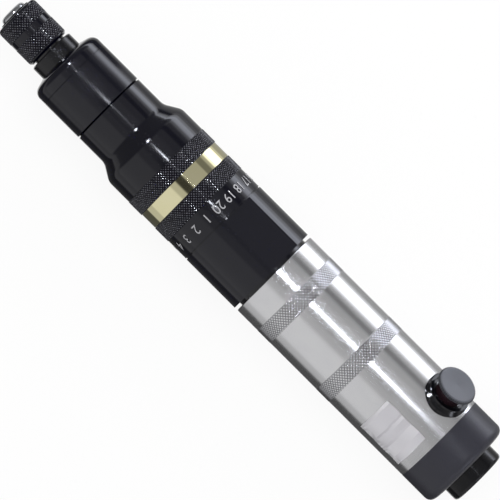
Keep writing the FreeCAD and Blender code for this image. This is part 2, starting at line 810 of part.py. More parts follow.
def make_clutch():
    """Cam, balls, cage on the driver's stem, thrust seat, spring, washer and slotted nut."""
    bearing(
        "cam_bearing", "housing_front", "cam_hub_radius + running_gap", "cam_bearing_radius"
    )
    cam_blank = turned("cam_blank", [
        ("cam_front", "0"),
        ("cam_front", "cam_hub_radius"),
        ("cam_flange_front", "cam_hub_radius"),
        ("cam_flange_front", "cage_radius"),
        ("cam_back", "cage_radius"),
        ("cam_back", "0"),
    ])
    bore = new_sketch(cam_blank, "YZ_Plane")
    hexagon(bore, "shank_across + 2 * running_gap")
    cut(cam_blank, bore, through=True)
    cut_balls(
        "clutch_cam", cam_blank.Shape, CLUTCH_BALL_COUNT,
        "clutch_ball_radius + running_gap", "clutch_ball_ring", "clutch_ball_place",
    )
    ball_group(
        "clutch_balls", CLUTCH_BALL_COUNT, "clutch_ball_radius", "clutch_ball_ring",
        "clutch_ball_place",
    )

    driver = turned("clutch_driver", [
        ("cage_front", "push_bore"),
        ("cage_front", "cage_radius"),
        ("cage_back", "cage_radius"),
        ("cage_back", "stem_radius"),
        ("stem_back", "stem_radius"),
        ("stem_back", "push_bore"),
    ])
    cage_hole = new_sketch(driver, "YZ_Plane", "cage_front")
    circle(cage_hole, ("0", "clutch_ball_ring"), "clutch_ball_radius + running_gap")
    hole = cut(driver, cage_hole, "cage_thickness", away=True)
    repeat_about(driver, hole, CLUTCH_BALL_COUNT)
    socket = new_sketch(driver, "YZ_Plane", "stem_back")
    hexagon(socket, "carrier_shank_across + 2 * running_gap")
    cut(driver, socket, "carrier_shank_length + end_gap")

    thread_bore = "stem_radius + running_gap"
    ring("spring_seat", "seat_front", "seat_back", thread_bore, "cage_radius")
    solid_piece(
        "clutch_spring",
        flat_wire_coil("clutch_ball_ring", "clutch_spring_wire",
                       "nut_washer_front - seat_back", CLUTCH_SPRING_TURNS),
        along_x("seat_back"),
    )
    ring(
        "nut_washer", "nut_washer_front", "nut_front", thread_bore,
        "nut_radius - nut_washer_step",
    )
    nut = ring("adjust_nut", "nut_front", "nut_back", thread_bore, "nut_radius")
    notch = new_sketch(nut, "XY_Plane", "nut_radius - nut_notch_depth")
    circle(notch, ("(nut_front + nut_back) / 2", "0"), "nut_notch_radius")
    repeat_about(nut, cut(nut, notch, away=True), KEY_NOTCH_COUNT)


def make_gearbox():
    """Planetary reduction: the rotor's pinion drives three planets inside a fixed ring."""
    turned("gear_case", [
        ("case_front", "land_radius + seat_gap"),
        ("case_front", "case_radius"),
        ("case_back", "case_radius"),
        ("case_back", "case_radius - seam_depth"),
        ("motor_front", "case_radius - seam_depth"),
        ("motor_front", "case_spigot_radius"),
        ("case_spigot_back", "case_spigot_radius"),
        ("case_spigot_back", "ring_outer + seat_gap"),
        ("web_back", "ring_outer + seat_gap"),
        ("web_back", "carrier_bearing_radius - web_lip"),
        ("carrier_bearing_back", "carrier_bearing_radius - web_lip"),
        ("carrier_bearing_back", "carrier_bearing_radius + seat_gap"),
        ("carrier_bearing_front - end_gap", "carrier_bearing_radius + seat_gap"),
        ("carrier_bearing_front - end_gap", "recess_radius"),
        ("land_back_end", "recess_radius"),
        ("land_back_end", "land_radius + seat_gap"),
    ])
    bearing(
        "carrier_bearing", "carrier_bearing_front", "stem_radius + running_gap",
        "carrier_bearing_radius",
    )
    carrier = turned("planet_carrier", [
        ("stem_back", "push_bore"),
        ("stem_back", "stem_radius"),
        ("carrier_front", "stem_radius"),
        ("carrier_front", "carrier_radius"),
        ("carrier_back", "carrier_radius"),
        ("carrier_back", "push_bore"),
    ])
    shank = new_sketch(carrier, "YZ_Plane", "stem_back - carrier_shank_length")
    hexagon(shank, "carrier_shank_across")
    circle(shank, ("0", "0"), "push_bore")
    pad(carrier, shank, "carrier_shank_length")
    seat = new_sketch(carrier, "YZ_Plane", "carrier_front")
    circle(seat, ("0", "-planet_place"), "planet_pin_radius + seat_gap")
    pin_hole = cut(carrier, seat, "carrier_thickness", away=True)
    repeat_about(carrier, pin_hole, PLANET_COUNT)

    module, width = number("gear_module"), number("gear_width")
    pins = []
    for i in range(PLANET_COUNT):
        around = 2 * math.pi * i / PLANET_COUNT
        centre = FreeCAD.Vector(
            number("planet_place") * math.cos(around), number("planet_place") * math.sin(around), 0
        )
        # the tooth space of each planet faces the pinion's tooth on the line of centres
        phase = SUN_TEETH * around / (2 * math.pi) % 1
        turn = around - (0.5 - phase) * 2 * math.pi / PLANET_TEETH
        planet = outer_gear(
            PLANET_TEETH, turn, number("planet_pin_radius + running_gap"), width
        )
        planet.translate(centre)
        solid_piece(f"planet_gear_{i + 1}", planet, along_x("gear_front"))
        pin_length = number("carrier_thickness + end_gap + gear_width + end_gap")
        pins.append(Part.makeCylinder(number("planet_pin_radius"), pin_length, centre))
    solid_piece("planet_pins", Part.makeCompound(pins), along_x("carrier_front"))

    pitch = number("ring_pitch_radius")
    tool = gear_prism(
        RING_TEETH, pitch - TOOTH_TIP * module, pitch + TOOTH_FOOT * module,
        -number("gear_backlash"), width, math.pi / RING_TEETH,
    )
    rim = Part.makeCylinder(number("ring_outer"), width)
    solid_piece("ring_gear", rim.cut(tool), along_x("gear_front"))


def make_motor():
    """Vane motor: flat-sided housing, liner with an off-centre bore, rotor, vanes and plates."""
    housing = turned("motor_housing", [
        ("motor_front", "case_spigot_radius + seat_gap"),
        ("motor_front", "motor_radius"),
        ("motor_back", "motor_radius"),
        ("motor_back", "neck_outer"),
        ("neck_back", "neck_outer"),
        ("neck_back", "motor_bore"),
        ("case_spigot_back", "motor_bore"),
        ("case_spigot_back", "case_spigot_radius + seat_gap"),
    ])
    for side in (1, -1):
        flat = new_sketch(housing, "XZ_Plane")
        near = f"{side} * (motor_radius - flat_depth)"
        far = f"{side} * 2 * motor_radius"
        outline(flat, [
            ("motor_front - end_gap", near), ("motor_back", near),
            ("motor_back", far), ("motor_front - end_gap", far),
        ])
        cut(housing, flat, through=True)
    turn_body(housing, "flat_angle")

    pin_height = ("0", "locating_pin_height")
    for label, front, back, bore in (
        ("front_end_plate", "case_spigot_back", "front_plate_back", "rotor_bearing_front"),
        ("rear_end_plate", "liner_back", "rear_plate_back", "rotor_bearing_rear"),
    ):
        plate = ring(label, front, back, "rotor_bearing_radius + seat_gap", "plate_radius")
        bearing(bore, front, "rotor_shaft_radius + running_gap", "rotor_bearing_radius")
        if label == "front_end_plate":
            pin_hole = new_sketch(plate, "YZ_Plane", front)
            circle(pin_hole, pin_height, "locating_pin_radius + seat_gap")
            cut(plate, pin_hole, "plate_thickness", away=True)

    liner = new_body("motor_liner")
    section = new_sketch(liner, "YZ_Plane", "front_plate_back")
    circle(section, ("0", "0"), "plate_radius")
    circle(section, ("0", "-liner_offset"), "liner_bore")
    pad(liner, section, "liner_length")
    pin_hole = new_sketch(liner, "YZ_Plane", "front_plate_back")
    circle(pin_hole, pin_height, "locating_pin_radius + seat_gap")
    cut(liner, pin_hole, "locating_pin_bite + end_gap", away=True)

    pin = new_body("locating_pin")
    pin_round = new_sketch(pin, "YZ_Plane", "case_spigot_back")
    circle(pin_round, pin_height, "locating_pin_radius")
    pad(pin, pin_round, "plate_thickness + locating_pin_bite")

    core = turned("rotor_core", [
        ("gear_back", "push_bore"),
        ("gear_back", "rotor_shaft_radius"),
        ("rotor_front", "rotor_shaft_radius"),
        ("rotor_front", "rotor_radius"),
        ("rotor_back", "rotor_radius"),
        ("rotor_back", "rotor_shaft_radius"),
        ("rear_plate_back", "rotor_shaft_radius"),
        ("rear_plate_back", "push_bore"),
    ])
    slot_floor = "rotor_radius - vane_set_in - vane_height - seat_gap"
    slot = new_sketch(core, "YZ_Plane", "rotor_front")
    outline(slot, [
        ("-vane_slot / 2", slot_floor), ("vane_slot / 2", slot_floor),
        ("vane_slot / 2", "2 * rotor_radius"), ("-vane_slot / 2", "2 * rotor_radius"),
    ])
    slot_cut = cut(core, slot, "rotor_back - rotor_front", away=True)
    repeat_about(core, slot_cut, VANE_COUNT)
    pinion = solid_piece(
        "rotor_pinion",
        outer_gear(SUN_TEETH, 0, number("push_bore"), number("gear_width")),
        along_x("gear_front"),
    )
    rotor = doc.addObject("Part::Fuse", "rotor")
    rotor.Base, rotor.Tool = core, pinion
    rotor.Label = "rotor"

    vanes = []
    length = number("rotor_back - rotor_front")
    for i in range(VANE_COUNT):
        vane = Part.makeBox(length, number("vane_thickness"), number("vane_height"))
        foot = number("rotor_radius - vane_set_in - vane_height")
        vane.translate(FreeCAD.Vector(number("rotor_front"), -number("vane_thickness / 2"), foot))
        vane.rotate(FreeCAD.Vector(), FreeCAD.Vector(1, 0, 0), 360 * i / VANE_COUNT)
        vanes.append(vane)
    solid_piece("vanes", Part.makeCompound(vanes))


def make_throttle():
    """Push rod through the hollow drive line, seat, poppet and its spring."""
    push_rod = new_body("push_rod")
    section = new_sketch(push_rod, "YZ_Plane", "shank_back")
    circle(section, ("0", "0"), "push_rod_radius")
    pad(push_rod, section, "throttle_seat_back - shank_back")
    ring(
        "throttle_seat", "rear_plate_back", "throttle_seat_back", "throttle_seat_bore",
        "chamber_radius - seat_gap",
    )
    turned("throttle_poppet", [
        ("throttle_seat_back", "0"),
        ("throttle_seat_back", "poppet_radius"),
        ("poppet_back", "poppet_radius"),
        ("poppet_back", "poppet_stem_radius"),
        ("poppet_end", "poppet_stem_radius"),
        ("poppet_end", "0"),
    ])
    solid_piece(
        "throttle_spring",
        flat_wire_coil("throttle_spring_radius", "throttle_spring_wire",
                       "chamber_back - poppet_back", THROTTLE_SPRING_TURNS),
        along_x("poppet_back"),
    )


def make_handle():
    """Turned grip, the valve block inside it, the hollow rear cap and the inlet bushing."""
    handle = turned("handle", [
        ("handle_front", "neck_outer + seat_gap"),
        ("handle_front", "handle_radius", "handle_round"),
        ("handle_back", "handle_radius"),
        ("handle_back", "motor_bore"),
        ("neck_back + end_gap", "motor_bore"),
        ("neck_back + end_gap", "neck_outer + seat_gap"),
    ])
    button_hole = new_sketch(handle, "XY_Plane")
    circle(button_hole, ("button_place", "0"), "collar_spigot_radius + seat_gap")
    cut(handle, button_hole, away=True)
    turn_body(handle, "button_angle")

    block = turned("valve_block", [
        ("rear_plate_back", "chamber_radius"),
        ("rear_plate_back", "plate_radius"),
        ("seal_front", "plate_radius"),
        ("seal_front", "plate_radius - block_seal_depth"),
        ("seal_back", "plate_radius - block_seal_depth"),
        ("seal_back", "plate_radius"),
        ("register_back", "plate_radius"),
        ("register_back", "block_neck_radius"),
        ("rear_wall_front", "block_neck_radius"),
        ("rear_wall_front", "shank_radius + seat_gap"),
        ("inlet_shank_front", "shank_radius + seat_gap"),
        ("inlet_shank_front", "air_passage"),
        ("chamber_back", "air_passage"),
        ("chamber_back", "chamber_radius"),
    ])
    stem_bore = new_sketch(block, "XY_Plane", "button_floor")
    circle(stem_bore, ("button_place", "0"), "button_bore")
    cut(block, stem_bore, away=True)
    port = new_sketch(block, "XY_Plane")
    circle(port, ("button_place", "0"), "button_port")
    cut(block, port, "button_floor + end_gap", away=True)
    turn_body(block, "button_angle")
    ring(
        "block_seal", "seal_front + seat_gap", "seal_back - seat_gap",
        "plate_radius - block_seal_depth + seat_gap", "plate_radius",
    )

    cap = turned("rear_cap", [
        ("handle_back", "plate_radius + seat_gap"),
        ("handle_back", "rear_cap_radius"),
        ("rear_cap_back", "rear_cap_radius", "rear_cap_round"),
        ("rear_cap_back", "shank_radius + seat_gap"),
        ("rear_wall_front", "shank_radius + seat_gap"),
        ("rear_wall_front", "cap_cavity_radius"),
        ("register_back", "cap_cavity_radius"),
        ("register_back", "plate_radius + seat_gap"),
    ])
    exhaust = new_sketch(cap, "YZ_Plane", "rear_wall_front")
    circle(exhaust, ("0", "exhaust_ring"), "exhaust_hole")
    exhaust_cut = cut(cap, exhaust, "rear_wall", away=True)
    repeat_about(cap, exhaust_cut, EXHAUST_HOLE_COUNT)
    ring(
        "muffler", "register_back", "rear_wall_front", "block_neck_radius + seat_gap",
        "cap_cavity_radius - seat_gap",
    )
    turned("inlet_bushing", [
        ("inlet_shank_front", "inlet_bore"),
        ("inlet_shank_front", "shank_radius"),
        ("rear_cap_back", "shank_radius"),
        ("rear_cap_back", "boss_radius"),
        ("inlet_back", "boss_radius", "boss_round"),
        ("inlet_back", "inlet_radius"),
        ("inlet_floor", "inlet_radius"),
        ("inlet_floor", "screen_radius"),
        ("screen_front", "screen_radius"),
        ("screen_front", "inlet_bore"),
    ])
    screen = new_body("inlet_screen")
    disc = new_sketch(screen, "YZ_Plane", "screen_front")
    circle(disc, ("0", "0"), "screen_radius - seat_gap")
    pad(screen, disc, "screen_thickness")
    mesh_hole = new_sketch(screen, "YZ_Plane", "screen_front")
    circle(mesh_hole, ("0", "screen_ring"), "screen_hole")
    mesh_cut = cut(screen, mesh_hole, "screen_thickness", away=True)
    repeat_about(screen, mesh_cut, SCREEN_HOLE_COUNT)


def button_piece(label, corners):
    """A piece turned about the button's own axis: (radius, height above the tool's axis)."""
    body = new_body(label)
    revolve(body, corners, "XZ_Plane", "V_Axis")
    turn_body(body, "button_angle", "button_place")
    return body


def make_button():
    """Reverse button: serrated head on a sealed stem, its collar, and the return spring."""
    head_floor = "button_top - button_head_thickness"
    button_piece("button_head", [
        ("0", head_floor),
        ("button_head_radius", head_floor),
        ("button_head_radius", "button_top - button_bevel"),
        ("button_head_radius - button_bevel", "button_top"),
        ("button_head_radius - 2 * button_bevel", "button_top"),
        ("0", "button_top - button_dish"),
    ])
    groove = "button_stem_radius - button_seal_depth"
    seal_top = "button_seal_place + button_seal_width"
    button_piece("button_stem", [
        ("0", "button_stem_floor"),
        ("button_stem_radius", "button_stem_floor"),
        ("button_stem_radius", "button_seal_place"),
        (groove, "button_seal_place"),
        (groove, seal_top),
        ("button_stem_radius", seal_top),
        ("button_stem_radius", head_floor),
        ("0", head_floor),
    ])
    button_piece("button_seal", [
        (f"{groove} + seat_gap", "button_seal_place + seat_gap"),
        ("button_stem_radius", "button_seal_place + seat_gap"),
        ("button_stem_radius", f"{seal_top} - seat_gap"),
        (f"{groove} + seat_gap", f"{seal_top} - seat_gap"),
    ])

    collar = new_body("button_collar")
    recess = "collar_ring_top - collar_recess_depth"
    revolve(collar, [
        ("button_bore + running_gap", "handle_radius - collar_spigot_depth"),
        ("collar_skirt_radius", "handle_radius - collar_spigot_depth"),
        ("collar_skirt_radius", "handle_radius - collar_skirt_height"),
        ("collar_ring_radius", "handle_radius + collar_skirt_height"),
        ("collar_ring_radius", "collar_ring_top"),
        ("collar_recess_radius", "collar_ring_top"),
        ("collar_recess_radius", recess),
        ("button_bore + running_gap", recess),
    ], "XZ_Plane", "V_Axis")
    saddle = new_sketch(collar, "YZ_Plane")
    circle(saddle, ("0", "0"), "handle_radius + seat_gap")
    cut(collar, saddle, through=True)
    revolve(collar, [
        ("button_bore + running_gap", "handle_radius - collar_spigot_depth"),
        ("collar_spigot_radius", "handle_radius - collar_spigot_depth"),
        ("collar_spigot_radius", recess),
        ("button_bore + running_gap", recess),
    ], "XZ_Plane", "V_Axis")
    turn_body(collar, "button_angle", "button_place")
    solid_piece(
        "reverse_spring",
        flat_wire_coil("reverse_spring_radius", "reverse_spring_wire",
                       "button_stem_floor - button_floor", REVERSE_SPRING_TURNS),
        about_button("button_floor"),
    )


make_chuck()
make_nose()
make_clutch_housing()
make_clutch()
make_gearbox()
make_motor()
make_throttle()
make_handle()
make_button()
doc.recompute()

NOT_PIECES = ("cam_blank", "rotor_core", "rotor_pinion")
PIECE_TYPES = ("PartDesign::Body", "Part::Feature", "Part::Fuse")

for thing in doc.Objects:
    if "Invalid" in thing.State or "Error" in thing.State:
        raise ValueError(f"{thing.Label} is {thing.State}")

os.makedirs("parts", exist_ok=True)
for piece in doc.Objects:
    if piece.TypeId not in PIECE_TYPES or piece.Label in NOT_PIECES:
        continue
    if piece.Shape.isNull() or not piece.Shape.isValid():
        raise ValueError(piece.Label + " has no valid shape")
    piece.Shape.exportStep(f"parts/{piece.Label}.step")
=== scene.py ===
import json
import math
import bpy
import numpy as np
from bpy.props import FloatProperty, FloatVectorProperty, IntProperty, PointerProperty
from mathutils import Matrix, Vector


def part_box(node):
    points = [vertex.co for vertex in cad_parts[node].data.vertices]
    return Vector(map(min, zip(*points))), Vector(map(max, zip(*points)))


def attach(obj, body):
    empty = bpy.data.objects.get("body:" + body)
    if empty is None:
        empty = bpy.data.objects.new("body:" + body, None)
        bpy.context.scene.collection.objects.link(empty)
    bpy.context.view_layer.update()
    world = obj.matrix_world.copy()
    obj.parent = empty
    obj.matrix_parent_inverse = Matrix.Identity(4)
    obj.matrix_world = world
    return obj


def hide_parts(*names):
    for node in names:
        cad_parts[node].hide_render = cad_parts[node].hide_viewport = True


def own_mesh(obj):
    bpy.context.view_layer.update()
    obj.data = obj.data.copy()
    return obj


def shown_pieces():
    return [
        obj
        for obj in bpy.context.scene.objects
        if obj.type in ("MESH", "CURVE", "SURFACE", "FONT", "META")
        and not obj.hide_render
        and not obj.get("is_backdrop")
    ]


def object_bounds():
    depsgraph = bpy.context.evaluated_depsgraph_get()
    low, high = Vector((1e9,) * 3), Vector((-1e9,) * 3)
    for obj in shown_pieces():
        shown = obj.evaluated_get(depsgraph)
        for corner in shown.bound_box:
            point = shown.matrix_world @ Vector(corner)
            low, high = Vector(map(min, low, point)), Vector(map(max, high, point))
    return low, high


# Looks of an inline air screwdriver: knurled and turned surfaces, finishes, scale, label and stage.
# The tool lies along X, nose at the origin, and +Z is up. Sizes are in millimetres unless a name
# or a property's unit says otherwise, and shapes are turned to metres as they enter a mesh.

bl_info = {
    "name": "Inline Air Screwdriver",
    "version": (1, 0, 0),
    "blender": (4, 5, 0),
    "location": "3D View > Sidebar > Screwdriver",
    "description": "Builds the surfaces and finishes of an inline air screwdriver",
    "category": "Object",
}

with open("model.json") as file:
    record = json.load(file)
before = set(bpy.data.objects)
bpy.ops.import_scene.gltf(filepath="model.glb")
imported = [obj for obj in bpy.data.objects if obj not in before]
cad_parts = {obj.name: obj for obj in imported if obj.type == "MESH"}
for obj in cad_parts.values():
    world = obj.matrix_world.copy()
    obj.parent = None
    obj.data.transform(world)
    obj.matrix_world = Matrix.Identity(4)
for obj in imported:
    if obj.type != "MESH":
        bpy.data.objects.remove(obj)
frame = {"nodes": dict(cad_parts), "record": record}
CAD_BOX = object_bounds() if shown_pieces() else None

MM = 0.001
FULL_TURN = 2 * math.pi
TINY = 1e-6


def span(node):
    """Where a turned node begins and ends along X, and its largest radius."""
    low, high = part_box(node)
    return low.x / MM, high.x / MM, high.y / MM


def linear(code):
    """The linear colour of an sRGB hex code."""
    parts = [int(code[i:i + 2], 16) / 255 for i in (1, 3, 5)]
    return tuple(p / 12.92 if p <= 0.04045 else ((p + 0.055) / 1.055) ** 2.4 for p in parts)


def rgba(colour):
    """The colour with full opacity."""
    return (*colour, 1.0)


# Meshes


def polyline(corners, steps=6):
    """A closed outline of (x, radius) corners, each with an optional rounding radius.

    A rounded corner becomes an arc that touches both of its sides: it starts and ends at the
    rounding radius times the tangent of half the turn, and its centre lies on the bisector.
    """
    points = [np.array(c[:2], float) for c in corners]
    out = []
    for i, corner in enumerate(corners):
        rounding = corner[2] if len(corner) > 2 else 0
        if not rounding:
            out.append(points[i][None])
            continue
        to_last = points[i - 1] - points[i]
        to_next = points[(i + 1) % len(points)] - points[i]
        to_last /= np.linalg.norm(to_last)
        to_next /= np.linalg.norm(to_next)
        half = math.acos(np.clip(to_last @ to_next, -1, 1)) / 2
        middle = to_last + to_next
        centre = points[i] + middle / np.linalg.norm(middle) * rounding / math.sin(half)
        ends = [points[i] + d * rounding / math.tan(half) - centre for d in (to_last, to_next)]
        share = np.linspace(0, 1, steps + 1)[:, None]
        arc = ends[0] * (1 - share) + ends[1] * share
        arc *= rounding / np.linalg.norm(arc, axis=1, keepdims=True)
        out.append(centre + arc)
    return np.concatenate(out)


def add_rows(outline, start, stop, rows):
    """The outline with evenly spaced rows between two places along its outer line."""
    x, r = outline.T
    following = np.roll(x, -1)
    reaches = (np.minimum(x, following) <= start + TINY) & (np.maximum(x, following) >= stop - TINY)
    heights = np.where(reaches, (r + np.roll(r, -1)) / 2, -1)
    at = int(np.argmax(heights))
    after = (at + 1) % len(outline)
    places = np.linspace(start, stop, rows + 1)
    if x[after] < x[at]:
        places = places[::-1]
    share = (places - x[at]) / (x[after] - x[at])
    inside = outline[at] + share[:, None] * (outline[after] - outline[at])
    return np.insert(outline, at + 1, inside, axis=0)


def grid_faces(rows, columns, close_rows, close_columns):
    """Four-cornered faces of a grid whose last row or column may meet its first."""
    down = np.arange(rows if close_rows else rows - 1)
    along = np.arange(columns if close_columns else columns - 1)
    i, j = np.meshgrid(down, along, indexing="ij")
    below, right = (i + 1) % rows, (j + 1) % columns
    corners = [i * columns + j, i * columns + right, below * columns + right, below * columns + j]
    return np.stack(corners, axis=-1).reshape(-1, 4)


def add_object(name, data):
    """A new object in the scene's collection."""
    made = bpy.data.objects.new(name, data)
    bpy.context.scene.collection.objects.link(made)
    return made


def coordinates(mesh):
    """A row of three numbers for each of a mesh's points."""
    values = np.empty(len(mesh.vertices) * 3)
    mesh.vertices.foreach_get("co", values)
    return values.reshape(-1, 3)


def mesh_piece(name, points, faces, sharp=35.0, attributes=None):
    """A piece from an array of points in millimetres and an array of faces."""
    mesh = bpy.data.meshes.new(name)
    mesh.from_pydata((points.reshape(-1, 3) * MM).tolist(), [], faces.tolist())
    for label, values in (attributes or {}).items():
        layer = mesh.attributes.new(label, "FLOAT", "POINT")
        layer.data.foreach_set("value", np.asarray(values, np.float32).ravel())
    mesh.shade_smooth()
    mesh.set_sharp_from_angle(angle=math.radians(sharp))
    mesh.update()
    return add_object(name, mesh)


def turned_points(x, radius, angle):
    """Points at places along X, turned by angles round it."""
    return np.stack([x + 0 * radius, radius * np.cos(angle), radius * np.sin(angle)], axis=-1)


def turned_piece(name, outline, around=144, sharp=30.0):
    """A closed outline turned about X: the point at row i and angle a is (x, r cos a, r sin a)."""
    angle = np.arange(around)[None] / around * FULL_TURN
    points = turned_points(outline[:, :1], outline[:, 1:] + 0 * angle, angle)
    return mesh_piece(name, points, grid_faces(len(outline), around, True, True), sharp)


def relief_piece(name, outline, around, relief, sharp=14.0):
    """A closed outline turned about X, with a pattern cut into it.

    The relief is a function of x, r and the angle. It gives the change of radius, and how high
    the surface stands within its pattern, from 0 in a groove to 1 on a ridge. Each face is split
    along the diagonal whose middle lies nearer to the true surface at the face's centre, so that
    grooves of both hands come out alike.
    """
    angle = np.arange(around)[None] / around * FULL_TURN
    x, r = outline[:, :1], outline[:, 1:]
    change, height = relief(x, r, angle)
    radius = r + change
    middle_x, middle_r = (x + np.roll(x, -1)) / 2, (r + np.roll(r, -1)) / 2
    middle = middle_r + relief(middle_x, middle_r, angle + FULL_TURN / around / 2)[0]
    below, right = np.roll(radius, -1, 0), np.roll(radius, -1, 1)
    opposite = np.roll(below, -1, 1)
    first_miss = np.abs((radius + opposite) / 2 - middle)
    second_miss = np.abs((right + below) / 2 - middle)
    faces = grid_faces(len(outline), around, True, True)
    first = (first_miss <= second_miss).ravel()[:, None]
    triangles = np.concatenate([
        np.where(first, faces[:, [0, 1, 2]], faces[:, [0, 1, 3]]),
        np.where(first, faces[:, [0, 2, 3]], faces[:, [1, 2, 3]]),
    ])
    cut = np.repeat((height.min(axis=1, keepdims=True) < 1).astype(float), around, axis=1)
    return mesh_piece(name, turned_points(x, radius, angle), triangles, sharp,
                      {"height": height, "knurl": cut})


def ridge(place):
    """A wave of straight flanks: 0 at each whole number and 1 half way between."""
    return 1 - np.abs(2 * (place % 1) - 1)


def diamond_knurl(bands, count, depth, pitch):
    """Two crossing sets of V grooves, cut into the outer surface between places along X.

    At angle a and distance s into the band, the sets lie at count a / turn plus and minus
    s / pitch, with the pitch fitted to the band. The ridge left between them is the lower of
    their two waves, cut flat at its top, and fades out at the band's ends.
    """
    def relief(x, r, angle):
        outer = r > r.max() - EDGE - OUTER_MARGIN
        change, height = np.zeros((len(x), angle.shape[1])), np.ones((len(x), angle.shape[1]))
        for start, stop in bands:
            inside = (x >= start) & (x <= stop) & outer
            turn = count * angle / FULL_TURN
            steps = round((stop - start) / pitch * KNURL_STEPS)
            along = (x - start) / (stop - start) * steps / KNURL_STEPS
            left = np.minimum(ridge(turn + along), ridge(turn - along))
            peak = np.minimum(left / KNURL_FLAT, 1)
            fade = np.clip(np.minimum(x - start, stop - x) / KNURL_FADE, 0, 1)
            change = np.where(inside, -depth * (1 - peak) * fade, change)
            height = np.where(inside, 1 - (1 - peak) * fade, height)
        return change, height
    return relief


# The share of a ridge's height that is left, the length over which a knurl runs out, and how
# many steps a pitch has: 8 put every crossing of two grooves on a point of the grid
KNURL_FLAT = 0.62
KNURL_FADE = 0.15
KNURL_STEPS = 8
# The steps down from a knurl to the smooth surface beside it, how much lower than that still
# counts as the outer surface, and how far beside a step the guarding corner lies
EDGE = 0.15
HANDLE_STEP = 0.06
CHUCK_STEP = 0.04
OUTER_MARGIN = 0.05
GUARD = 0.2


def raised_band(start, stop, radius, step):
    """Corners of a band that stands a step above the turned surface on both of its sides.

    A further corner close to each side keeps the knurl's normals off the long smooth faces.
    """
    low = radius - step
    return [
        (start - step - GUARD, low), (start - step, low), (start, radius),
        (stop, radius), (stop + step, low), (stop + step + GUARD, low),
    ]


def knurled_piece(name, node, corners, bands, pitch, depth, body, material):
    """A turned piece with diamond knurling, that stands for its CAD node."""
    count = round(FULL_TURN * max(c[1] for c in corners) / pitch)
    outline = polyline(corners)
    for start, stop in bands:
        outline = add_rows(outline, start, stop, round((stop - start) / pitch * KNURL_STEPS))
    knurl = diamond_knurl(bands, count, depth, pitch)
    piece = relief_piece(name, outline, count * KNURL_STEPS, knurl)
    stand_in(piece, node, body, material)


# Materials


def add_node(tree, kind, inputs=(), **settings):
    """A shader node with its settings, and its inputs given as values or as other sockets."""
    made = tree.nodes.new("ShaderNode" + kind)
    for label, value in settings.items():
        setattr(made, label, value)
    for label, value in dict(inputs).items():
        if isinstance(value, bpy.types.NodeSocket):
            tree.links.new(value, made.inputs[label])
        else:
            made.inputs[label].default_value = value
    return made


def calculate(tree, operation, first, second):
    """The result of a sum on two values or sockets."""
    return add_node(tree, "Math", {0: first, 1: second}, operation=operation).outputs[0]


def attribute(tree, label):
    """A number that the mesh holds for each of its points."""
    return add_node(tree, "Attribute", attribute_name=label).outputs["Fac"]


def new_material(label):
    """An empty node material and its tree."""
    material = bpy.data.materials.new(label)
    material.use_nodes = True
    material.node_tree.nodes.clear()
    return material, material.node_tree


def finish_material(material, inputs):
    """Gives the material its surface shader."""
    tree = material.node_tree
    shader = add_node(tree, "BsdfPrincipled", inputs)
    add_node(tree, "OutputMaterial", {"Surface": shader.outputs["BSDF"]})
    return material


def stretched_noise(tree, sizes, detail=2.0, roughness=0.5):
    """Noise whose grains measure the given millimetres along X, Y and Z, or in every direction."""
    place = add_node(tree, "TexCoord").outputs["Object"]
    scaled = add_node(tree, "Mapping", {
        "Vector": place, "Scale": [1 / (float(s) * MM) for s in np.broadcast_to(sizes, 3)],
    })
    return add_node(tree, "TexNoise", {
        "Vector": scaled.outputs["Vector"], "Scale": 1.0, "Detail": detail, "Roughness": roughness,
    }).outputs["Fac"]


# Most values of a noise lie between these two
NOISE_LOW = 0.3
NOISE_HIGH = 0.7


def between(tree, share, low, high):
    """A value that runs from low to high as a noise runs through most of its range."""
    return add_node(tree, "MapRange", {
        "Value": share, "From Min": NOISE_LOW, "From Max": NOISE_HIGH,
        "To Min": low, "To Max": high,
    }).outputs["Result"]


def blend_colours(tree, share, low, high):
    """A colour from low to high, each of them a hex code or another node's socket."""
    ends = [rgba(linear(end)) if isinstance(end, str) else end for end in (low, high)]
    mixed = add_node(tree, "Mix", {0: share, 6: ends[0], 7: ends[1]}, data_type="RGBA")
    return mixed.outputs[2]


def bump(tree, height, distance, strength=1.0, normal=None):
    """A normal roughened by a height, over a distance in millimetres."""
    inputs = {"Height": height, "Distance": distance * MM, "Strength": strength}
    if normal is not None:
        inputs["Normal"] = normal
    return add_node(tree, "Bump", inputs).outputs["Normal"]


def peak_share(tree):
    """How high a knurled surface stands, from 0 in a groove to 1 on a ridge, which sets painted
    glints and shade; on the label, the painted shade of each facet.
    """
    return attribute(tree, "height")


# How steeply the painted glint and wear gather on a knurl's tips, how steeply the painted shade
# darkens the handle's grooves, and the length of the spindle's bright nose in metres
GLINT_AND_WEAR_POWER = 4.0
GROOVE_SHADE_POWER = 0.7
BRIGHT_NOSE = 0.012


def black_anodised_aluminium(label, rough, glossy_index=1.45):
    """Dyed black anodising over fine turning marks.

    The dye leaves almost no colour of its own, so the eye gets the clear oxide's reflections:
    a sharp line from each lamp, drawn out along the tool by the turning marks.
    """
    material, tree = new_material(label)
    marks = stretched_noise(tree, (0.3, 300, 300))
    cloud = stretched_noise(tree, (6, 6, 6))
    return finish_material(material, {
        "Base Color": blend_colours(tree, cloud, "#030310", "#050514"),
        "Roughness": between(tree, marks, rough * 0.85, rough * 1.15),
        "IOR": glossy_index,
        "Normal": bump(tree, marks, 0.002, 0.3),
    })


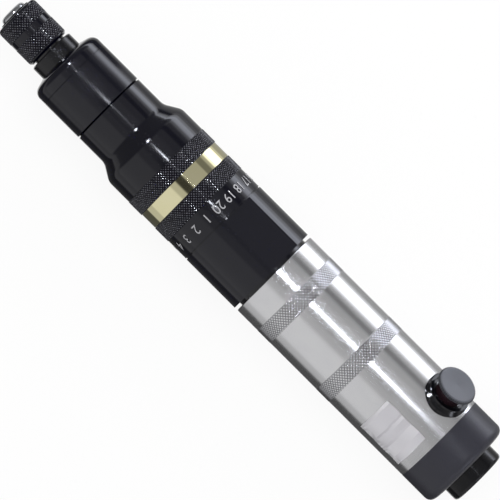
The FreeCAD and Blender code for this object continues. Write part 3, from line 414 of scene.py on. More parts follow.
def knurled_black(label, rough):
    """Black anodising cut by a knurl, with the ridges' tips painted paler: partly wear of the dye,
    partly a painted glint.
    """
    material, tree = new_material(label)
    marks = stretched_noise(tree, (0.35, 9, 9))
    glint_and_wear_patches = between(tree, stretched_noise(tree, (0.9, 0.9, 0.9)), 0.0, 1.0)
    tip = calculate(tree, "POWER", peak_share(tree), GLINT_AND_WEAR_POWER)
    tip = calculate(tree, "MULTIPLY", tip, attribute(tree, "knurl"))
    glint_and_wear = calculate(tree, "MULTIPLY", tip, glint_and_wear_patches)
    return finish_material(material, {
        # Painted glint: the ridges' tips are painted a paler grey, partly for wear and partly for
        # the light they catch
        "Base Color": blend_colours(tree, glint_and_wear, "#030310", "#74747C"),
        "Roughness": between(tree, marks, rough * 0.85, rough * 1.15),
        "IOR": 1.45,
        "Normal": bump(tree, marks, 0.006, 0.35),
    })


def ground_spindle():
    """Spindle steel: its nose is ground bright, and the rest keeps its black oxide."""
    material, tree = new_material("part_ground_spindle_steel")
    place = add_node(tree, "TexCoord").outputs["Object"]
    along = add_node(tree, "SeparateXYZ", {"Vector": place}).outputs["X"]
    black = calculate(tree, "GREATER_THAN", along, BRIGHT_NOSE)
    marks = stretched_noise(tree, TURNED_GRAIN)
    return finish_material(material, {
        "Base Color": blend_colours(tree, black, "#A6A7AA", "#08080A"),
        "Metallic": calculate(tree, "SUBTRACT", 1.0, black),
        "Roughness": between(tree, marks, 0.16, 0.24),
        "Normal": bump(tree, marks, 0.006, 0.4),
    })


def polished_brass():
    """Lacquered, polished brass: pale gold, near a mirror, with faint polishing lines."""
    material, tree = new_material("polished_brass")
    marks = stretched_noise(tree, (0.25, 300, 300))
    stain = stretched_noise(tree, (5, 5, 5), 3.0)
    return finish_material(material, {
        "Base Color": blend_colours(tree, stain, "#DBD5AB", "#E1DBB7"),
        "Metallic": 1.0,
        "Roughness": between(tree, marks, 0.02, 0.045),
        "Normal": bump(tree, marks, 0.0005, 0.2),
    })


def turned_aluminium():
    """Clear anodised aluminium, turned and polished: soft bands with a fine lathe line, and painted
    shade darkening its knurls' grooves.
    """
    material, tree = new_material("turned_clear_anodised_aluminium")
    marks = stretched_noise(tree, (0.2, 300, 300))
    cloud = stretched_noise(tree, (9, 5, 5), 3.0)
    groove_shade = calculate(tree, "POWER", peak_share(tree), GROOVE_SHADE_POWER)
    tint = blend_colours(tree, cloud, "#CBCBCE", "#D3D3D4")
    return finish_material(material, {
        # Painted shade: the knurls' grooves are painted darker than the ridges
        "Base Color": blend_colours(tree, groove_shade, "#6A6A70", tint),
        "Metallic": 1.0,
        "Roughness": between(tree, marks, 0.16, 0.24),
        "Normal": bump(tree, marks, 0.002, 0.3),
    })


# The grain of a turned or ground metal: fine along X, and drawn out round it
TURNED_GRAIN = (0.4, 3, 3)


def steel(label, low, high, rough, grain):
    """Ground or rolled steel: neutral metal with its grain round the axis."""
    material, tree = new_material(label)
    marks = stretched_noise(tree, grain)
    return finish_material(material, {
        "Base Color": blend_colours(tree, marks, low, high),
        "Metallic": 1.0,
        "Roughness": between(tree, marks, rough * 0.8, rough * 1.2),
        "Normal": bump(tree, marks, 0.006, 0.4),
    })


def dull_solid(label, low, high, rough, grain, depth, index):
    """A moulded, sintered or pressed material: an even colour with a small grain."""
    material, tree = new_material(label)
    speck = stretched_noise(tree, grain, 3.0)
    return finish_material(material, {
        "Base Color": blend_colours(tree, speck, low, high),
        "Roughness": between(tree, speck, rough * 0.9, rough * 1.1),
        "IOR": index,
        "Normal": bump(tree, speck, depth, 0.5),
    })


def serrated_enamel():
    """Dark grey enamel, with painted shade between the serrations of the button's rim."""
    material, tree = new_material("serrated_grey_enamel")
    speck = stretched_noise(tree, (0.5, 0.5, 0.5), 3.0)
    return finish_material(material, {
        # Painted shade: the notches between the serrations are painted near black
        "Base Color": blend_colours(tree, peak_share(tree), "#0C0C0F", "#44464E"),
        "Roughness": between(tree, speck, 0.38, 0.46),
        "Normal": bump(tree, speck, 0.008, 0.5),
    })


def foil_label():
    """Aluminium foil label: pale, a little dull, with painted shade that differs on each side of a
    fold.
    """
    material, tree = new_material("foil_label")
    crease = stretched_noise(tree, (1.6, 6, 6), 4.0, 0.6)
    return finish_material(material, {
        # Painted shade: each facet between the folds is painted lighter or darker
        "Base Color": blend_colours(tree, peak_share(tree), "#C3C1C7", "#EAE9ED"),
        "Metallic": 0.55,
        "Roughness": between(tree, crease, 0.3, 0.45),
        "Normal": bump(tree, crease, 0.15, 0.6),
    })


def printed_ink():
    """Baked white marking ink, slightly uneven."""
    material, tree = new_material("printed_ink")
    speck = stretched_noise(tree, (0.25, 0.25, 0.25))
    return finish_material(material, {
        "Base Color": blend_colours(tree, speck, "#9C9CA0", "#B4B4B8"),
        "Roughness": 0.5,
    })


FINISHES = {}
# Each metal finish: its slot, name, dark and light colour, roughness, and grain in millimetres
METALS = (
    ("hardened_steel", "ground_hardened_steel", "#9C9DA0", "#B4B5B8", 0.2, TURNED_GRAIN),
    ("cast_iron_grey", "ground_cast_iron", "#6E6F71", "#8A8B8D", 0.4, 1),
    ("spring_steel", "drawn_spring_steel", "#77787B", "#929397", 0.3, TURNED_GRAIN),
    ("valve_aluminium", "machined_aluminium", "#C2C3C6", "#D0D1D4", 0.3, TURNED_GRAIN),
)
# Each moulded, sintered or pressed finish: its slot, name, dark and light colour, roughness,
# grain and depth of its grain in millimetres, and index of refraction
SOLIDS = (
    ("blackened_steel", "black_oxide_steel", "#040409", "#07070D", 0.22, 0.6, 0.0005, 1.42),
    ("bronze", "sintered_bronze", "#8A5A2B", "#A9743C", 0.5, 0.3, 0.01, 1.5),
    ("rubber_seal", "nitrile_rubber", "#141415", "#1C1C1D", 0.6, 0.2, 0.004, 1.5),
    ("moulded_black", "moulded_black_nylon", "#22222C", "#282832", 0.38, 0.35, 0.012, 1.45),
    ("felt", "pressed_felt", "#9A958A", "#BDB8AC", 0.95, 0.4, 0.08, 1.5),
    ("vane_resin", "phenolic_laminate", "#5A3A20", "#6E4A2C", 0.5, (0.4, 2, 2), 0.004, 1.5),
    ("gloss_black", "glossy_black_acetal", "#050509", "#09090E", 0.14, 2, 0.004, 1.36),
    ("button_grey", "dark_grey_enamel", "#3A3C44", "#464850", 0.42, 0.5, 0.008, 1.5),
    ("stem_brown", "red_brown_acetal", "#23161B", "#302027", 0.22, 0.8, 0.004, 1.5),
)


def make_finishes():
    """One material for each slot of the record, and those of the printed and stuck pieces."""
    FINISHES.update({
        "black_anodised": black_anodised_aluminium("satin_black_anodised_aluminium", 0.12),
        "blasted_black": black_anodised_aluminium("blasted_black_anodised_aluminium", 0.19),
        "knurled_black": knurled_black("knurled_black_anodised_aluminium", 0.12),
        "ground_spindle": ground_spindle(),
        "polished_brass": polished_brass(),
        "turned_aluminium": turned_aluminium(),
        "serrated_enamel": serrated_enamel(),
        "foil_label": foil_label(),
        "printed_ink": printed_ink(),
    })
    FINISHES.update({slot: steel(*look) for slot, *look in METALS})
    FINISHES.update({slot: dull_solid(*look) for slot, *look in SOLIDS})


def dress(piece, finish):
    """Gives a piece its only material."""
    piece.data.materials.clear()
    piece.data.materials.append(FINISHES[finish])


def stand_in(piece, node, body, finish):
    """Lets a new piece stand for its CAD node."""
    dress(piece, finish)
    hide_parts(node)
    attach(piece, body)


# What a user would change


def length(name, description, size):
    """A property for a length, from its usual size in millimetres."""
    return FloatProperty(name=name, description=description, default=size * MM, unit="LENGTH")


class ScrewdriverSizes(bpy.types.PropertyGroup):
    """Sizes of the surfaces: lengths in metres, and counts."""

    chuck_pitch: length("Chuck knurl pitch", "Distance between the chuck sleeve's ridges", 1.25)
    body_pitch: length("Body knurl pitch", "Distance between the body's ridges", 1.2)
    handle_depth: length("Handle knurl depth", "Depth of the handle's knurls' grooves", 0.12)
    handle_pitch: length("Handle knurl pitch", "Distance between the handle's ridges", 1.36)
    knurl_depth: length("Knurl depth", "Depth of the knurls' grooves", 0.24)
    number_height: length("Number height", "Height of the numbers on the scale", 3.65)
    number_count: IntProperty(
        name="Numbers", description="How many numbers go round the scale", default=20, min=2,
    )
    serrations: IntProperty(
        name="Serrations", description="How many notches go round the button", default=56, min=3,
    )


class ScrewdriverColours(bpy.types.PropertyGroup):
    """Colours of the stage."""

    floor: FloatVectorProperty(
        name="Floor", description="Colour of the floor", subtype="COLOR", default=linear("#FFFFFF"),
    )


def sizes():
    """The sizes that a user may have changed."""
    return bpy.context.scene.screwdriver_sizes


# Where the knurls and bands lie along X, from the piece's own front end or back end
CHUCK_FIRST_BAND = (1.0, 6.4)
CHUCK_SECOND_BAND = (9.1, 15.4)
HOUSING_KNURL_LENGTH = 6.26
CASE_KNURL_LENGTH = 6.44
HANDLE_BANDS = ((9.9, 6.3), (38.8, 6.25))
# How deep the visible groove behind the clutch sleeve looks, and how round the seams' edges are
GROOVE_DEPTH = 0.95
SEAM_ROUND = 0.2
# Gap between the chuck sleeve and the spindle, and the radii of the casings' threads and bores
SLIDING_GAP = 0.05
SPIGOT = 12.95
SPIGOT_BORE = 12.97
SLEEVE_BORE = 12.15


class SCREWDRIVER_OT_chuck(bpy.types.Operator):
    """Knurled quick-change sleeve with a coned front, two knurled bands and a bevelled back"""

    bl_idname = "screwdriver.chuck"
    bl_label = "Chuck Sleeve"

    def execute(self, context):
        front, back, radius = span("chuck_sleeve")
        pitch, depth = sizes().chuck_pitch / MM, sizes().knurl_depth / MM
        neck = span("spindle")[2]
        nose = neck - 1.5
        mouth = nose + 2.0
        shoulder = front + 6.7
        recess = back - 6.2
        first = (front + CHUCK_FIRST_BAND[0], front + CHUCK_FIRST_BAND[1])
        second = (front + CHUCK_SECOND_BAND[0], front + CHUCK_SECOND_BAND[1])
        middle = radius - CHUCK_STEP
        corners = [
            (front, mouth), (front, middle, 0.7), *raised_band(*first, radius, CHUCK_STEP),
            *raised_band(*second, radius, CHUCK_STEP), (back - 0.8, middle, 0.3),
            (back, radius - 0.9, 0.15),
            (back, neck + SLIDING_GAP), (recess, neck + SLIDING_GAP),
            (recess, nose + SLIDING_GAP), (shoulder, nose + SLIDING_GAP), (shoulder, mouth),
        ]
        knurled_piece(
            "knurled_chuck_sleeve", "chuck_sleeve", corners, (first, second), pitch, depth,
            "chuck_sleeve", "knurled_black",
        )
        return {"FINISHED"}


class SCREWDRIVER_OT_nose(bpy.types.Operator):
    """Rounded front cap and the matte sleeve behind it, with a fine seam between them"""

    bl_idname = "screwdriver.nose"
    bl_label = "Front Cap and Sleeve"

    def execute(self, context):
        front, spigot_back, radius = span("front_cap")
        seam, back, _ = span("clutch_sleeve")
        bore = span("spindle_collar")[2] + 0.2
        relief = spigot_back + 0.3
        cap = polyline([
            (front, bore), (front, bore + 0.3), (front + 1.53, radius, 3.2),
            (seam, radius, SEAM_ROUND), (seam, SPIGOT), (spigot_back, SPIGOT),
            (spigot_back, bore),
        ], 12)
        sleeve = polyline([
            (seam, SPIGOT_BORE), (seam, radius, SEAM_ROUND), (back, radius, SEAM_ROUND),
            (back, SPIGOT_BORE), (back - 6.0, SPIGOT_BORE), (back - 6.0, SLEEVE_BORE),
            (relief, SLEEVE_BORE), (relief, SPIGOT_BORE),
        ])
        for name, node, outline, finish in (
            ("rounded_front_cap", "front_cap", cap, "black_anodised"),
            ("matte_clutch_sleeve", "clutch_sleeve", sleeve, "blasted_black"),
        ):
            stand_in(turned_piece(name, outline), node, "housing", finish)
        return {"FINISHED"}


class SCREWDRIVER_OT_clutch_housing(bpy.types.Operator):
    """Housing that flares from the clutch sleeve to the full diameter and ends in a knurl"""

    bl_idname = "screwdriver.clutch_housing"
    bl_label = "Clutch Housing"

    def execute(self, context):
        start, stop, radius = span("clutch_housing")
        sleeve_back, nose = span("clutch_sleeve")[1:]
        knurl_back = span("adjust_ring")[0] - 0.05
        front = sleeve_back + 0.52
        flare_front, flare_back = front + 12.13, front + 17.93
        land = span("adjust_ring")[2] - 1.48
        band = (knurl_back - HOUSING_KNURL_LENGTH, knurl_back - EDGE)
        spindle_bore, spring_bore = 8.5, 15.2
        groove_edge = nose - 0.35
        bearing_back, step = front + 5.3, flare_back + 0.3
        corners = [
            (start, spindle_bore), (start, SPIGOT), (sleeve_back, SPIGOT),
            (sleeve_back, groove_edge), (sleeve_back + 0.26, nose - GROOVE_DEPTH),
            (front, groove_edge),
            (front, nose, SEAM_ROUND), (flare_front, nose, 5.0),
            (flare_back, radius - EDGE, 5.0), *raised_band(*band, radius, EDGE)[:4],
            (knurl_back, radius - EDGE), (knurl_back, land),
            (stop, land), (stop, spring_bore), (step, spring_bore), (step, 13.0),
            (bearing_back, 13.0), (bearing_back, 11.02), (front, 11.02), (front, spindle_bore),
        ]
        knurled_piece(
            "flared_clutch_housing", "clutch_housing", corners, (band,), sizes().body_pitch / MM,
            sizes().knurl_depth / MM, "housing", "knurled_black",
        )
        return {"FINISHED"}


class SCREWDRIVER_OT_gear_case(bpy.types.Operator):
    """Gear case with a knurled band and a smooth band for the scale"""

    bl_idname = "screwdriver.gear_case"
    bl_label = "Gear Case"

    def execute(self, context):
        front, stop, radius = span("gear_case")
        seam = span("motor_housing")[0]
        case_back = seam - 0.4
        ring = span("ring_gear")[2]
        land = span("adjust_ring")[2] - 1.46
        band = (front + EDGE, front + CASE_KNURL_LENGTH)
        rear_land, carrier_bore = 15.97, 8.85
        rib_front, rib_back = front + 6.2, front + 7.0
        bearing_front, land_back = front + 0.9, front + 4.1
        smooth = radius - EDGE
        corners = [
            (front, land), (front, smooth), *raised_band(*band, radius, EDGE)[2:],
            (case_back, smooth, SEAM_ROUND),
            (case_back, radius - 0.5), (seam, radius - 0.5), (seam, rear_land), (stop, rear_land),
            (stop, ring + 0.02), (rib_back, ring + 0.02), (rib_back, carrier_bore),
            (rib_front, carrier_bore), (rib_front, 10.02), (bearing_front, 10.02),
            (bearing_front, 13.47), (land_back, 13.47), (land_back, land),
        ]
        knurled_piece(
            "knurled_gear_case", "gear_case", corners, (band,), sizes().body_pitch / MM,
            sizes().knurl_depth / MM, "housing", "knurled_black",
        )
        return {"FINISHED"}


class SCREWDRIVER_OT_handle(bpy.types.Operator):
    """Turned aluminium grip with two knurled bands"""

    bl_idname = "screwdriver.handle"
    bl_label = "Handle"

    def execute(self, context):
        front, back, radius = span("handle")
        radius = round(radius, 2)
        neck = span("motor_housing")[1]
        bands = [(front + place, front + place + length) for place, length in HANDLE_BANDS]
        smooth = radius - HANDLE_STEP
        bore, tail_bore = 15.52, 14.2
        step = neck + 0.3
        corners = [(front, bore), (front, smooth, 0.4)]
        for start, stop in bands:
            corners += raised_band(start, stop, radius, HANDLE_STEP)
        corners += [(back, smooth, 0.1), (back, tail_bore), (step, tail_bore), (step, bore)]
        knurled_piece(
            "turned_handle", "handle", corners, bands, sizes().handle_pitch / MM,
            sizes().handle_depth / MM, "housing", "turned_aluminium",
        )
        return {"FINISHED"}


# The scale on the gear case: where it starts along X, how high its ink stands, the size of the
# letters' font for a number's height, and how narrow its figures are
SCALE_FRONT = 97.75
INK_RISE = 0.02
FONT_SIZE = 1.4
FIGURE_WIDTH = 0.86


def wrap(flat, start, radius):
    """Bends a flat drawing round the tool.

    Its first axis runs round the tool the way that the numbers read, its second along X from
    the start, and its third away from the axis.
    """
    angle = flat[:, 0] / radius
    out = radius + flat[:, 2]
    return np.stack([start + flat[:, 1], -out * np.sin(angle), out * np.cos(angle)], axis=-1)


class SCREWDRIVER_OT_scale(bpy.types.Operator):
    """Plain numbers, printed round the gear case's smooth band"""

    bl_idname = "screwdriver.scale"
    bl_label = "Scale"

    def execute(self, context):
        radius = round(span("gear_case")[2], 2)
        height, count = sizes().number_height / MM, sizes().number_count
        step = FULL_TURN * radius / count
        points, faces, total = [], [], 0
        for number in range(count):
            curve = bpy.data.curves.new("number", "FONT")
            curve.body = str(number + 1)
            curve.align_x = "CENTER"
            curve.size = height * FONT_SIZE
            text = bpy.data.objects.new("number", curve)
            mesh = bpy.data.meshes.new_from_object(text)
            flat = coordinates(mesh)
            flat[:, 0] = flat[:, 0] * FIGURE_WIDTH + (number + 0.5) * step
            flat[:, 2] = INK_RISE
            points.append(wrap(flat, SCALE_FRONT, radius))
            faces += [[total + v for v in p.vertices] for p in mesh.polygons]
            total += len(flat)
            bpy.data.objects.remove(text)
        mesh = bpy.data.meshes.new("scale_numbers")
        mesh.from_pydata((np.concatenate(points) * MM).tolist(), [], faces)
        piece = add_object("scale_numbers", mesh)
        dress(piece, "printed_ink")
        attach(piece, "housing")
        return {"FINISHED"}


# The label: where it lies along X and round the tool, measured from +Z towards -Y
LABEL_SPAN = (188.0, 206.5)
LABEL_TURN = (10.2, 63.2)
LABEL_RISE = 0.05
LABEL_POINTS = 90
CREASE_HEIGHT = 0.11
# How far the label's ends wander along X, and its sides round the tool, as a share of its width
RAGGED_ENDS = 0.5
RAGGED_SIDES = 0.008


class SCREWDRIVER_OT_label(bpy.types.Operator):
    """Blank foil label on the handle, creased and lifted a little at its edges"""

    bl_idname = "screwdriver.label"
    bl_label = "Blank Label"

    def execute(self, context):
        radius = round(span("handle")[2], 2)
        share = np.linspace(0, 1, LABEL_POINTS)
        along, across = np.meshgrid(share, share, indexing="ij")
        ragged = RAGGED_ENDS * np.sin(5 * across + 1) * (across - 0.5)
        x = LABEL_SPAN[0] + (LABEL_SPAN[1] - LABEL_SPAN[0]) * along + ragged
        waved = across + RAGGED_SIDES * np.sin(11 * along + 2)
        angle = np.radians(LABEL_TURN[0] + (LABEL_TURN[1] - LABEL_TURN[0]) * waved)
        folds, shade = creases(along, across)
        out = radius + LABEL_RISE + CREASE_HEIGHT * folds
        outer = np.stack([x, -out * np.sin(angle), out * np.cos(angle)], axis=-1)
        faces = grid_faces(LABEL_POINTS, LABEL_POINTS, False, False)
        # The label's height attribute holds the painted shade of each facet
        piece = mesh_piece("blank_label", outer, faces, 180.0, {"height": shade})
        dress(piece, "foil_label")
        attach(piece, "housing")
        return {"FINISHED"}


# Folds across the label at shares of its length, how high each stands, and the facets' painted
# shades, then how many short folds crumple its foot, and the share of its width where the foot
# starts
FOLDS = (0.0, 0.06, 0.35, 0.39, 0.46, 0.58, 0.63, 0.84, 1.0)
FOLD_HEIGHTS = (0.9, 0.15, 0.75, 0.2, 0.85, 0.3, 0.8, 0.25, 0.9)
FOLD_SHADES = (0.8, 0.55, 0.1, 0.7, 0.4, 0.3, 0.85, 0.5)
FOOT_FOLDS = 6
FOOT_START = 0.84
FOOT_FADE = 0.08


def creases(along, across):
    """How high the folded label stands, and the painted shade of each of its facets, from 0 to 1.

    The folds run round the tool and waver a little. The label's foot is crumpled by short folds.
    """
    place = np.clip(along + 0.006 * np.sin(7 * across) + 0.004 * np.sin(19 * across + 2), 0, 0.999)
    height = np.interp(place, FOLDS, FOLD_HEIGHTS)
    facet = np.searchsorted(FOLDS, place, side="right") - 1
    shade = np.array(FOLD_SHADES)[facet]
    shade = shade * (0.75 + 0.25 * np.cos(5 * across + 2.3 * facet))
    foot = np.clip((across - FOOT_START) / FOOT_FADE, 0, 1)
    crumple = np.abs((FOOT_FOLDS * along + np.sin(11 * along) + 2 * across) % 1 - 0.5) * 2
    return height * (1 - foot) + crumple * foot, shade * (1 - foot) + (0.3 + 0.7 * crumple) * foot


# The reverse button's axis passes through the tool's at its place along X, leaning to +Y
BUTTON_LEAN = math.radians(47)


def on_button_axis(radius, height, angle):
    """Points about the button's axis, at a radius turned by an angle and a height up the axis."""
    side, along = radius * np.cos(angle), radius * np.sin(angle)
    y = side * math.cos(BUTTON_LEAN) + height * math.sin(BUTTON_LEAN)
    z = -side * math.sin(BUTTON_LEAN) + height * math.cos(BUTTON_LEAN)
    return np.stack([button_place() + along, y, z], axis=-1)


def button_place():
    """Where the button's axis meets the tool's, along X."""
    low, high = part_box("button_head")
    return (low.x + high.x) / 2 / MM


# The button's head: the height of its top above the tool's axis, its thickness, its bevel, and
# the depth and mesh steps of a serration
HEAD_TOP = 24.5
HEAD_THICKNESS = 1.3
HEAD_BEVEL = 0.5
SERRATION_DEPTH = 0.42
SERRATION_STEPS = 6
# The head's middle is closed down to this radius
POLE = 0.01


class SCREWDRIVER_OT_button(bpy.types.Operator):
    """Serrated head of the reverse button"""

    bl_idname = "screwdriver.button"
    bl_label = "Reverse Button"

    def execute(self, context):
        low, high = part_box("button_head")
        radius = (high.x - low.x) / 2 / MM
        floor = HEAD_TOP - HEAD_THICKNESS
        outline = polyline([
            (POLE, floor), (radius - 0.25, floor), (radius, floor + 0.2),
            (radius, HEAD_TOP - HEAD_BEVEL), (radius - 0.35, HEAD_TOP - 0.12, 0.2),
            (radius - 2 * HEAD_BEVEL, HEAD_TOP, 0.3), (POLE, HEAD_TOP - 0.3),
        ])
        around = sizes().serrations * SERRATION_STEPS
        angle = np.arange(around)[None] / around * FULL_TURN
        notch = ridge(sizes().serrations * angle / FULL_TURN)
        rim = np.clip((outline[:, :1] - (radius - 0.5)) / 0.4, 0, 1)
        reach = outline[:, :1] - SERRATION_DEPTH * rim * (1 - notch)
        points = on_button_axis(reach, outline[:, 1:] + 0 * angle, angle + 0 * reach)
        faces = grid_faces(len(outline), around, True, True)[:, ::-1]
        # The height also sets the painted shade in the notches between the serrations
        height = 1 - rim * (1 - notch) + 0 * reach
        piece = mesh_piece("serrated_button_head", points, faces, 20.0, {"height": height})
        stand_in(piece, "button_head", "reverse_button", "serrated_enamel")
        return {"FINISHED"}


# Each spring: its node, the joint that squeezes it, its turns, and whether its far end stays
SPRINGS = (
    ("sleeve_spring", "sleeve_slide", 3, False),
    ("clutch_spring", "washer_slide", 5, False),
    ("throttle_spring", "push_slide", 6, True),
    ("reverse_spring", "reverse_press", 3, False),
)
# Share of a spring's length that its wire fills, and mesh steps in a turn
COIL_FILL = 0.55
COIL_STEPS = 48


def coil_points(centre, axis, low, high, inner, outer, turns):
    """The four corners of a flat wire's section, all along a helix from low to high on its axis.

    At a share of the wire's length, the section has turned by that share of all the turns, and
    has climbed by that share of what the wire's own thickness leaves of the spring's length.
    """
    side = np.cross(axis, (0, 1, 0))
    side /= np.linalg.norm(side)
    across = np.cross(axis, side)
    half = COIL_FILL * (high - low) / turns / 2
    share = np.linspace(0, 1, turns * COIL_STEPS + 1)
    turn = share * turns * FULL_TURN
    radial = np.outer(np.cos(turn), side) + np.outer(np.sin(turn), across)
    climb = low + half + share * (high - low - 2 * half)
    return np.stack([
        centre + radial * radius + np.outer(climb + level, axis)
        for radius, level in ((inner, -half), (outer, -half), (outer, half), (inner, half))
    ])


def spring_line(node):
    """The direction of a spring's axis, and a point on it."""
    if node == "reverse_spring":
        direction = np.array([0, math.sin(BUTTON_LEAN), math.cos(BUTTON_LEAN)])
        return direction, np.array([button_place(), 0, 0])
    return np.array([1.0, 0, 0]), np.zeros(3)


def extent(node, axis, centre):
    """How far a node's points reach along an axis, and away from it: two pairs of ends."""
    points = coordinates(frame["nodes"][node].data) / MM - centre
    climb = points @ axis
    radius = np.linalg.norm(points - np.outer(climb, axis), axis=1)
    return (climb.min(), climb.max()), (radius.min(), radius.max())


class SCREWDRIVER_OT_springs(bpy.types.Operator):
    """Flat wire springs, each filling its CAD node's length and radii"""

    bl_idname = "screwdriver.springs"
    bl_label = "Springs"

    def execute(self, context):
        slots = {row["node"]: row["material_slot"] for row in frame["record"]["subparts"]}
        behaviour = frame["record"]["behaviour"]
        bodies = {node: body for body, nodes in behaviour["bodies"].items() for node in nodes}
        for node, joint, turns, far_end_stays in SPRINGS:
            axis, centre = spring_line(node)
            (low, high), radii = extent(node, axis, centre)
            corners = coil_points(centre, axis, low, high, *radii, turns)
            columns = corners.shape[1]
            ends = np.arange(4) * columns
            faces = np.concatenate([
                grid_faces(4, columns, True, False), [ends], [(ends + columns - 1)[::-1]],
            ])
            piece = mesh_piece(node + "_coil", corners, faces)
            stand_in(piece, node, bodies[node], slots[node])
            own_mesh(piece)
        return {"FINISHED"}


class SCREWDRIVER_OT_inner_parts(bpy.types.Operator):
    """Finishes of all the pieces that keep their CAD shape"""

    bl_idname = "screwdriver.inner_parts"
    bl_label = "Plain and Inner Pieces"

    def execute(self, context):
        for row in frame["record"]["subparts"]:
            node, slot = row["node"], row["material_slot"]
            finish = "ground_spindle" if node == "spindle" else slot
            dress(frame["nodes"][node], finish)
        return {"FINISHED"}


# The stage, in metres. Angles are in degrees from +Z towards +Y, as the tool's surface reflects
# them. The tent's mesh is fine along the tool and coarse beyond it, and longer at the back.
TENT_RADIUS = 0.45
TENT_REACH = 0.75
TENT_TAIL = 0.6
TENT_TURN = 171
FINE_SPAN = (-0.06, 0.26)
FINE_STEP = 0.001
COARSE_STEP = 0.01
# How much of its width the tent's closed ends keep, and its gap above the floor, in millimetres
END_PINCH = 0.02
TENT_GAP = 0.6
EDGE_SOFTNESS = 3.5
WALL = 0.82
# Each long card: what it is, where it starts and ends round the tool, and its level
CARDS = (
    # The first card stands in for the floor's shadow beside the tool: painted shade that only
    # reflections see
    ("painted shadow of the floor beside the tool", -176, -116, 0.09),
    ("floor to the left", -116, -94, 0.6),
    ("wall to the left", -94, -26, 0.84),
    ("grey card", -26, -8, 0.56),
    ("camera", -8, 5, 0.44),
    ("ceiling", 5, 34, 0.62),
    ("grey card to the right", 34, 54, 0.5),
    ("dark card", 54, 70, 0.2),
    ("floor to the right", 116, 127, 0.75),
    ("shaded floor to the right", 127, 172, 0.42),
)
# Where the cards of limited length start and end along X and how soft they end, in metres:
# those along the tool, and those over the brass
TOOL_SPAN = (-0.06, 0.248, 0.0012)
BRASS_SPAN = (0.0665, 0.0885, 0.0012)
# Each card of limited length: the same as above, with its span
LOCAL_CARDS = (
    ("softbox edge", 70, 82, 0.5, *TOOL_SPAN),
    ("softbox", 82, 90, 1.7, *TOOL_SPAN),
    ("softbox middle", 90, 108, 4.7, *TOOL_SPAN),
    ("softbox foot", 108, 116, 2.4, *TOOL_SPAN),
    ("dim wall before the nose", -190, 190, 0.3, -1.5, -0.15, 0.02),
    ("dim wall behind the tool", -190, 190, 0.4, 0.249, 0.3, 0.0012),
    ("far window, seen by the knurls' flanks", -20, 40, 7.0, 0.88, 1.12, 0.01),
    ("shade beside the nose", 115, 146, 0.1, -0.06, 0.0395, 0.0012),
    ("grey card over the brass", 9, 56, 0.45, *BRASS_SPAN),
    ("dark card right of the brass", 56, 73, 0.2, *BRASS_SPAN),
    ("dark card over the brass", -10, 10, 0.05, *BRASS_SPAN),
)
LAMP_TURN = 12.4
LAMP_WIDTH = 2.2
# Each run of the strip lamp: where it starts and ends along X, in metres, and its level
LAMP_RUNS = (
    (-0.29, -0.16, 400.0), (-0.025, 0.0125, 6.0), (0.046, 0.054, 9.0), (0.056, 0.0675, 130.0),
    (0.0905, 0.102, 130.0), (0.145, 0.2325, 20.0),
)
LAMP_SOFTNESS = 0.0012
# The level of the tent's closed ends, the colour of its lamps, and the levels between which a
# card's white turns to that colour
END_WALL = 0.25
LAMP_BLUE = "#F0F4FF"
BLUE_FROM = 1.0
BLUE_TO = 3.0


def window(value, start, stop, softness):
    """1 between two places and 0 beyond them, with softened edges."""
    def rise(place):
        return 1 / (1 + np.exp(-np.clip((value - place) / softness, -40, 40)))
    return rise(start) - rise(stop)


def reflected_level(angle, x):
    """What the tent shows at each angle and place along X: the cards, then the strip lamp."""
    turn_softness = EDGE_SOFTNESS / 4
    level = np.full((len(x), angle.shape[1]), WALL)
    for _, start, stop, value in CARDS:
        level += (value - level) * window(angle, start, stop, turn_softness)
    for _, start, stop, value, front, back, softness in LOCAL_CARDS:
        covered = window(angle, start, stop, turn_softness) * window(x, front, back, softness)
        level += (value - level) * covered
    across = np.exp(-((angle - LAMP_TURN) / (LAMP_WIDTH / 2)) ** 4)
    for start, stop, value in LAMP_RUNS:
        level += value * across * window(x, start, stop, LAMP_SOFTNESS)
    return level


def studio_material(label, tree_maker):
    """A material whose surface shader is made by the given function of its tree."""
    material, tree = new_material(label)
    surface = tree_maker(tree)
    add_node(tree, "OutputMaterial", {"Surface": surface})
    return material


def seen_directly(tree):
    """1 for camera, glossy and transmitted rays, which should meet a white background."""
    path = add_node(tree, "LightPath")
    pair = calculate(
        tree, "MAXIMUM", path.outputs["Is Camera Ray"], path.outputs["Is Glossy Ray"]
    )
    return calculate(tree, "MAXIMUM", pair, path.outputs["Is Transmission Ray"])


# The floor's size, points along a side, gap below the tool and glow, and the world's fill light
FLOOR_SIZE = 6.0
FLOOR_POINTS = 9
FLOOR_GAP = 0.0001
FLOOR_GLOW = 0.9
WORLD_FILL = 0.55
# The camera's aim along X, distance, sensor in millimetres, reach, and width of its picture
VIEW_CENTRE = 0.11757
CAMERA_DISTANCE = 2.1
SENSOR = 36.0
CAMERA_FAR = 20
FRAME_WIDTH = 0.1739
# Each lamp: its name, its place, its size and its power in watts
LAMPS = (
    ("top_softbox", (0.15, 0.25, 1.3), 1.0, 7.0),
    ("side_softbox", (0.12, 0.9, 0.35), 0.6, 3.0),
)


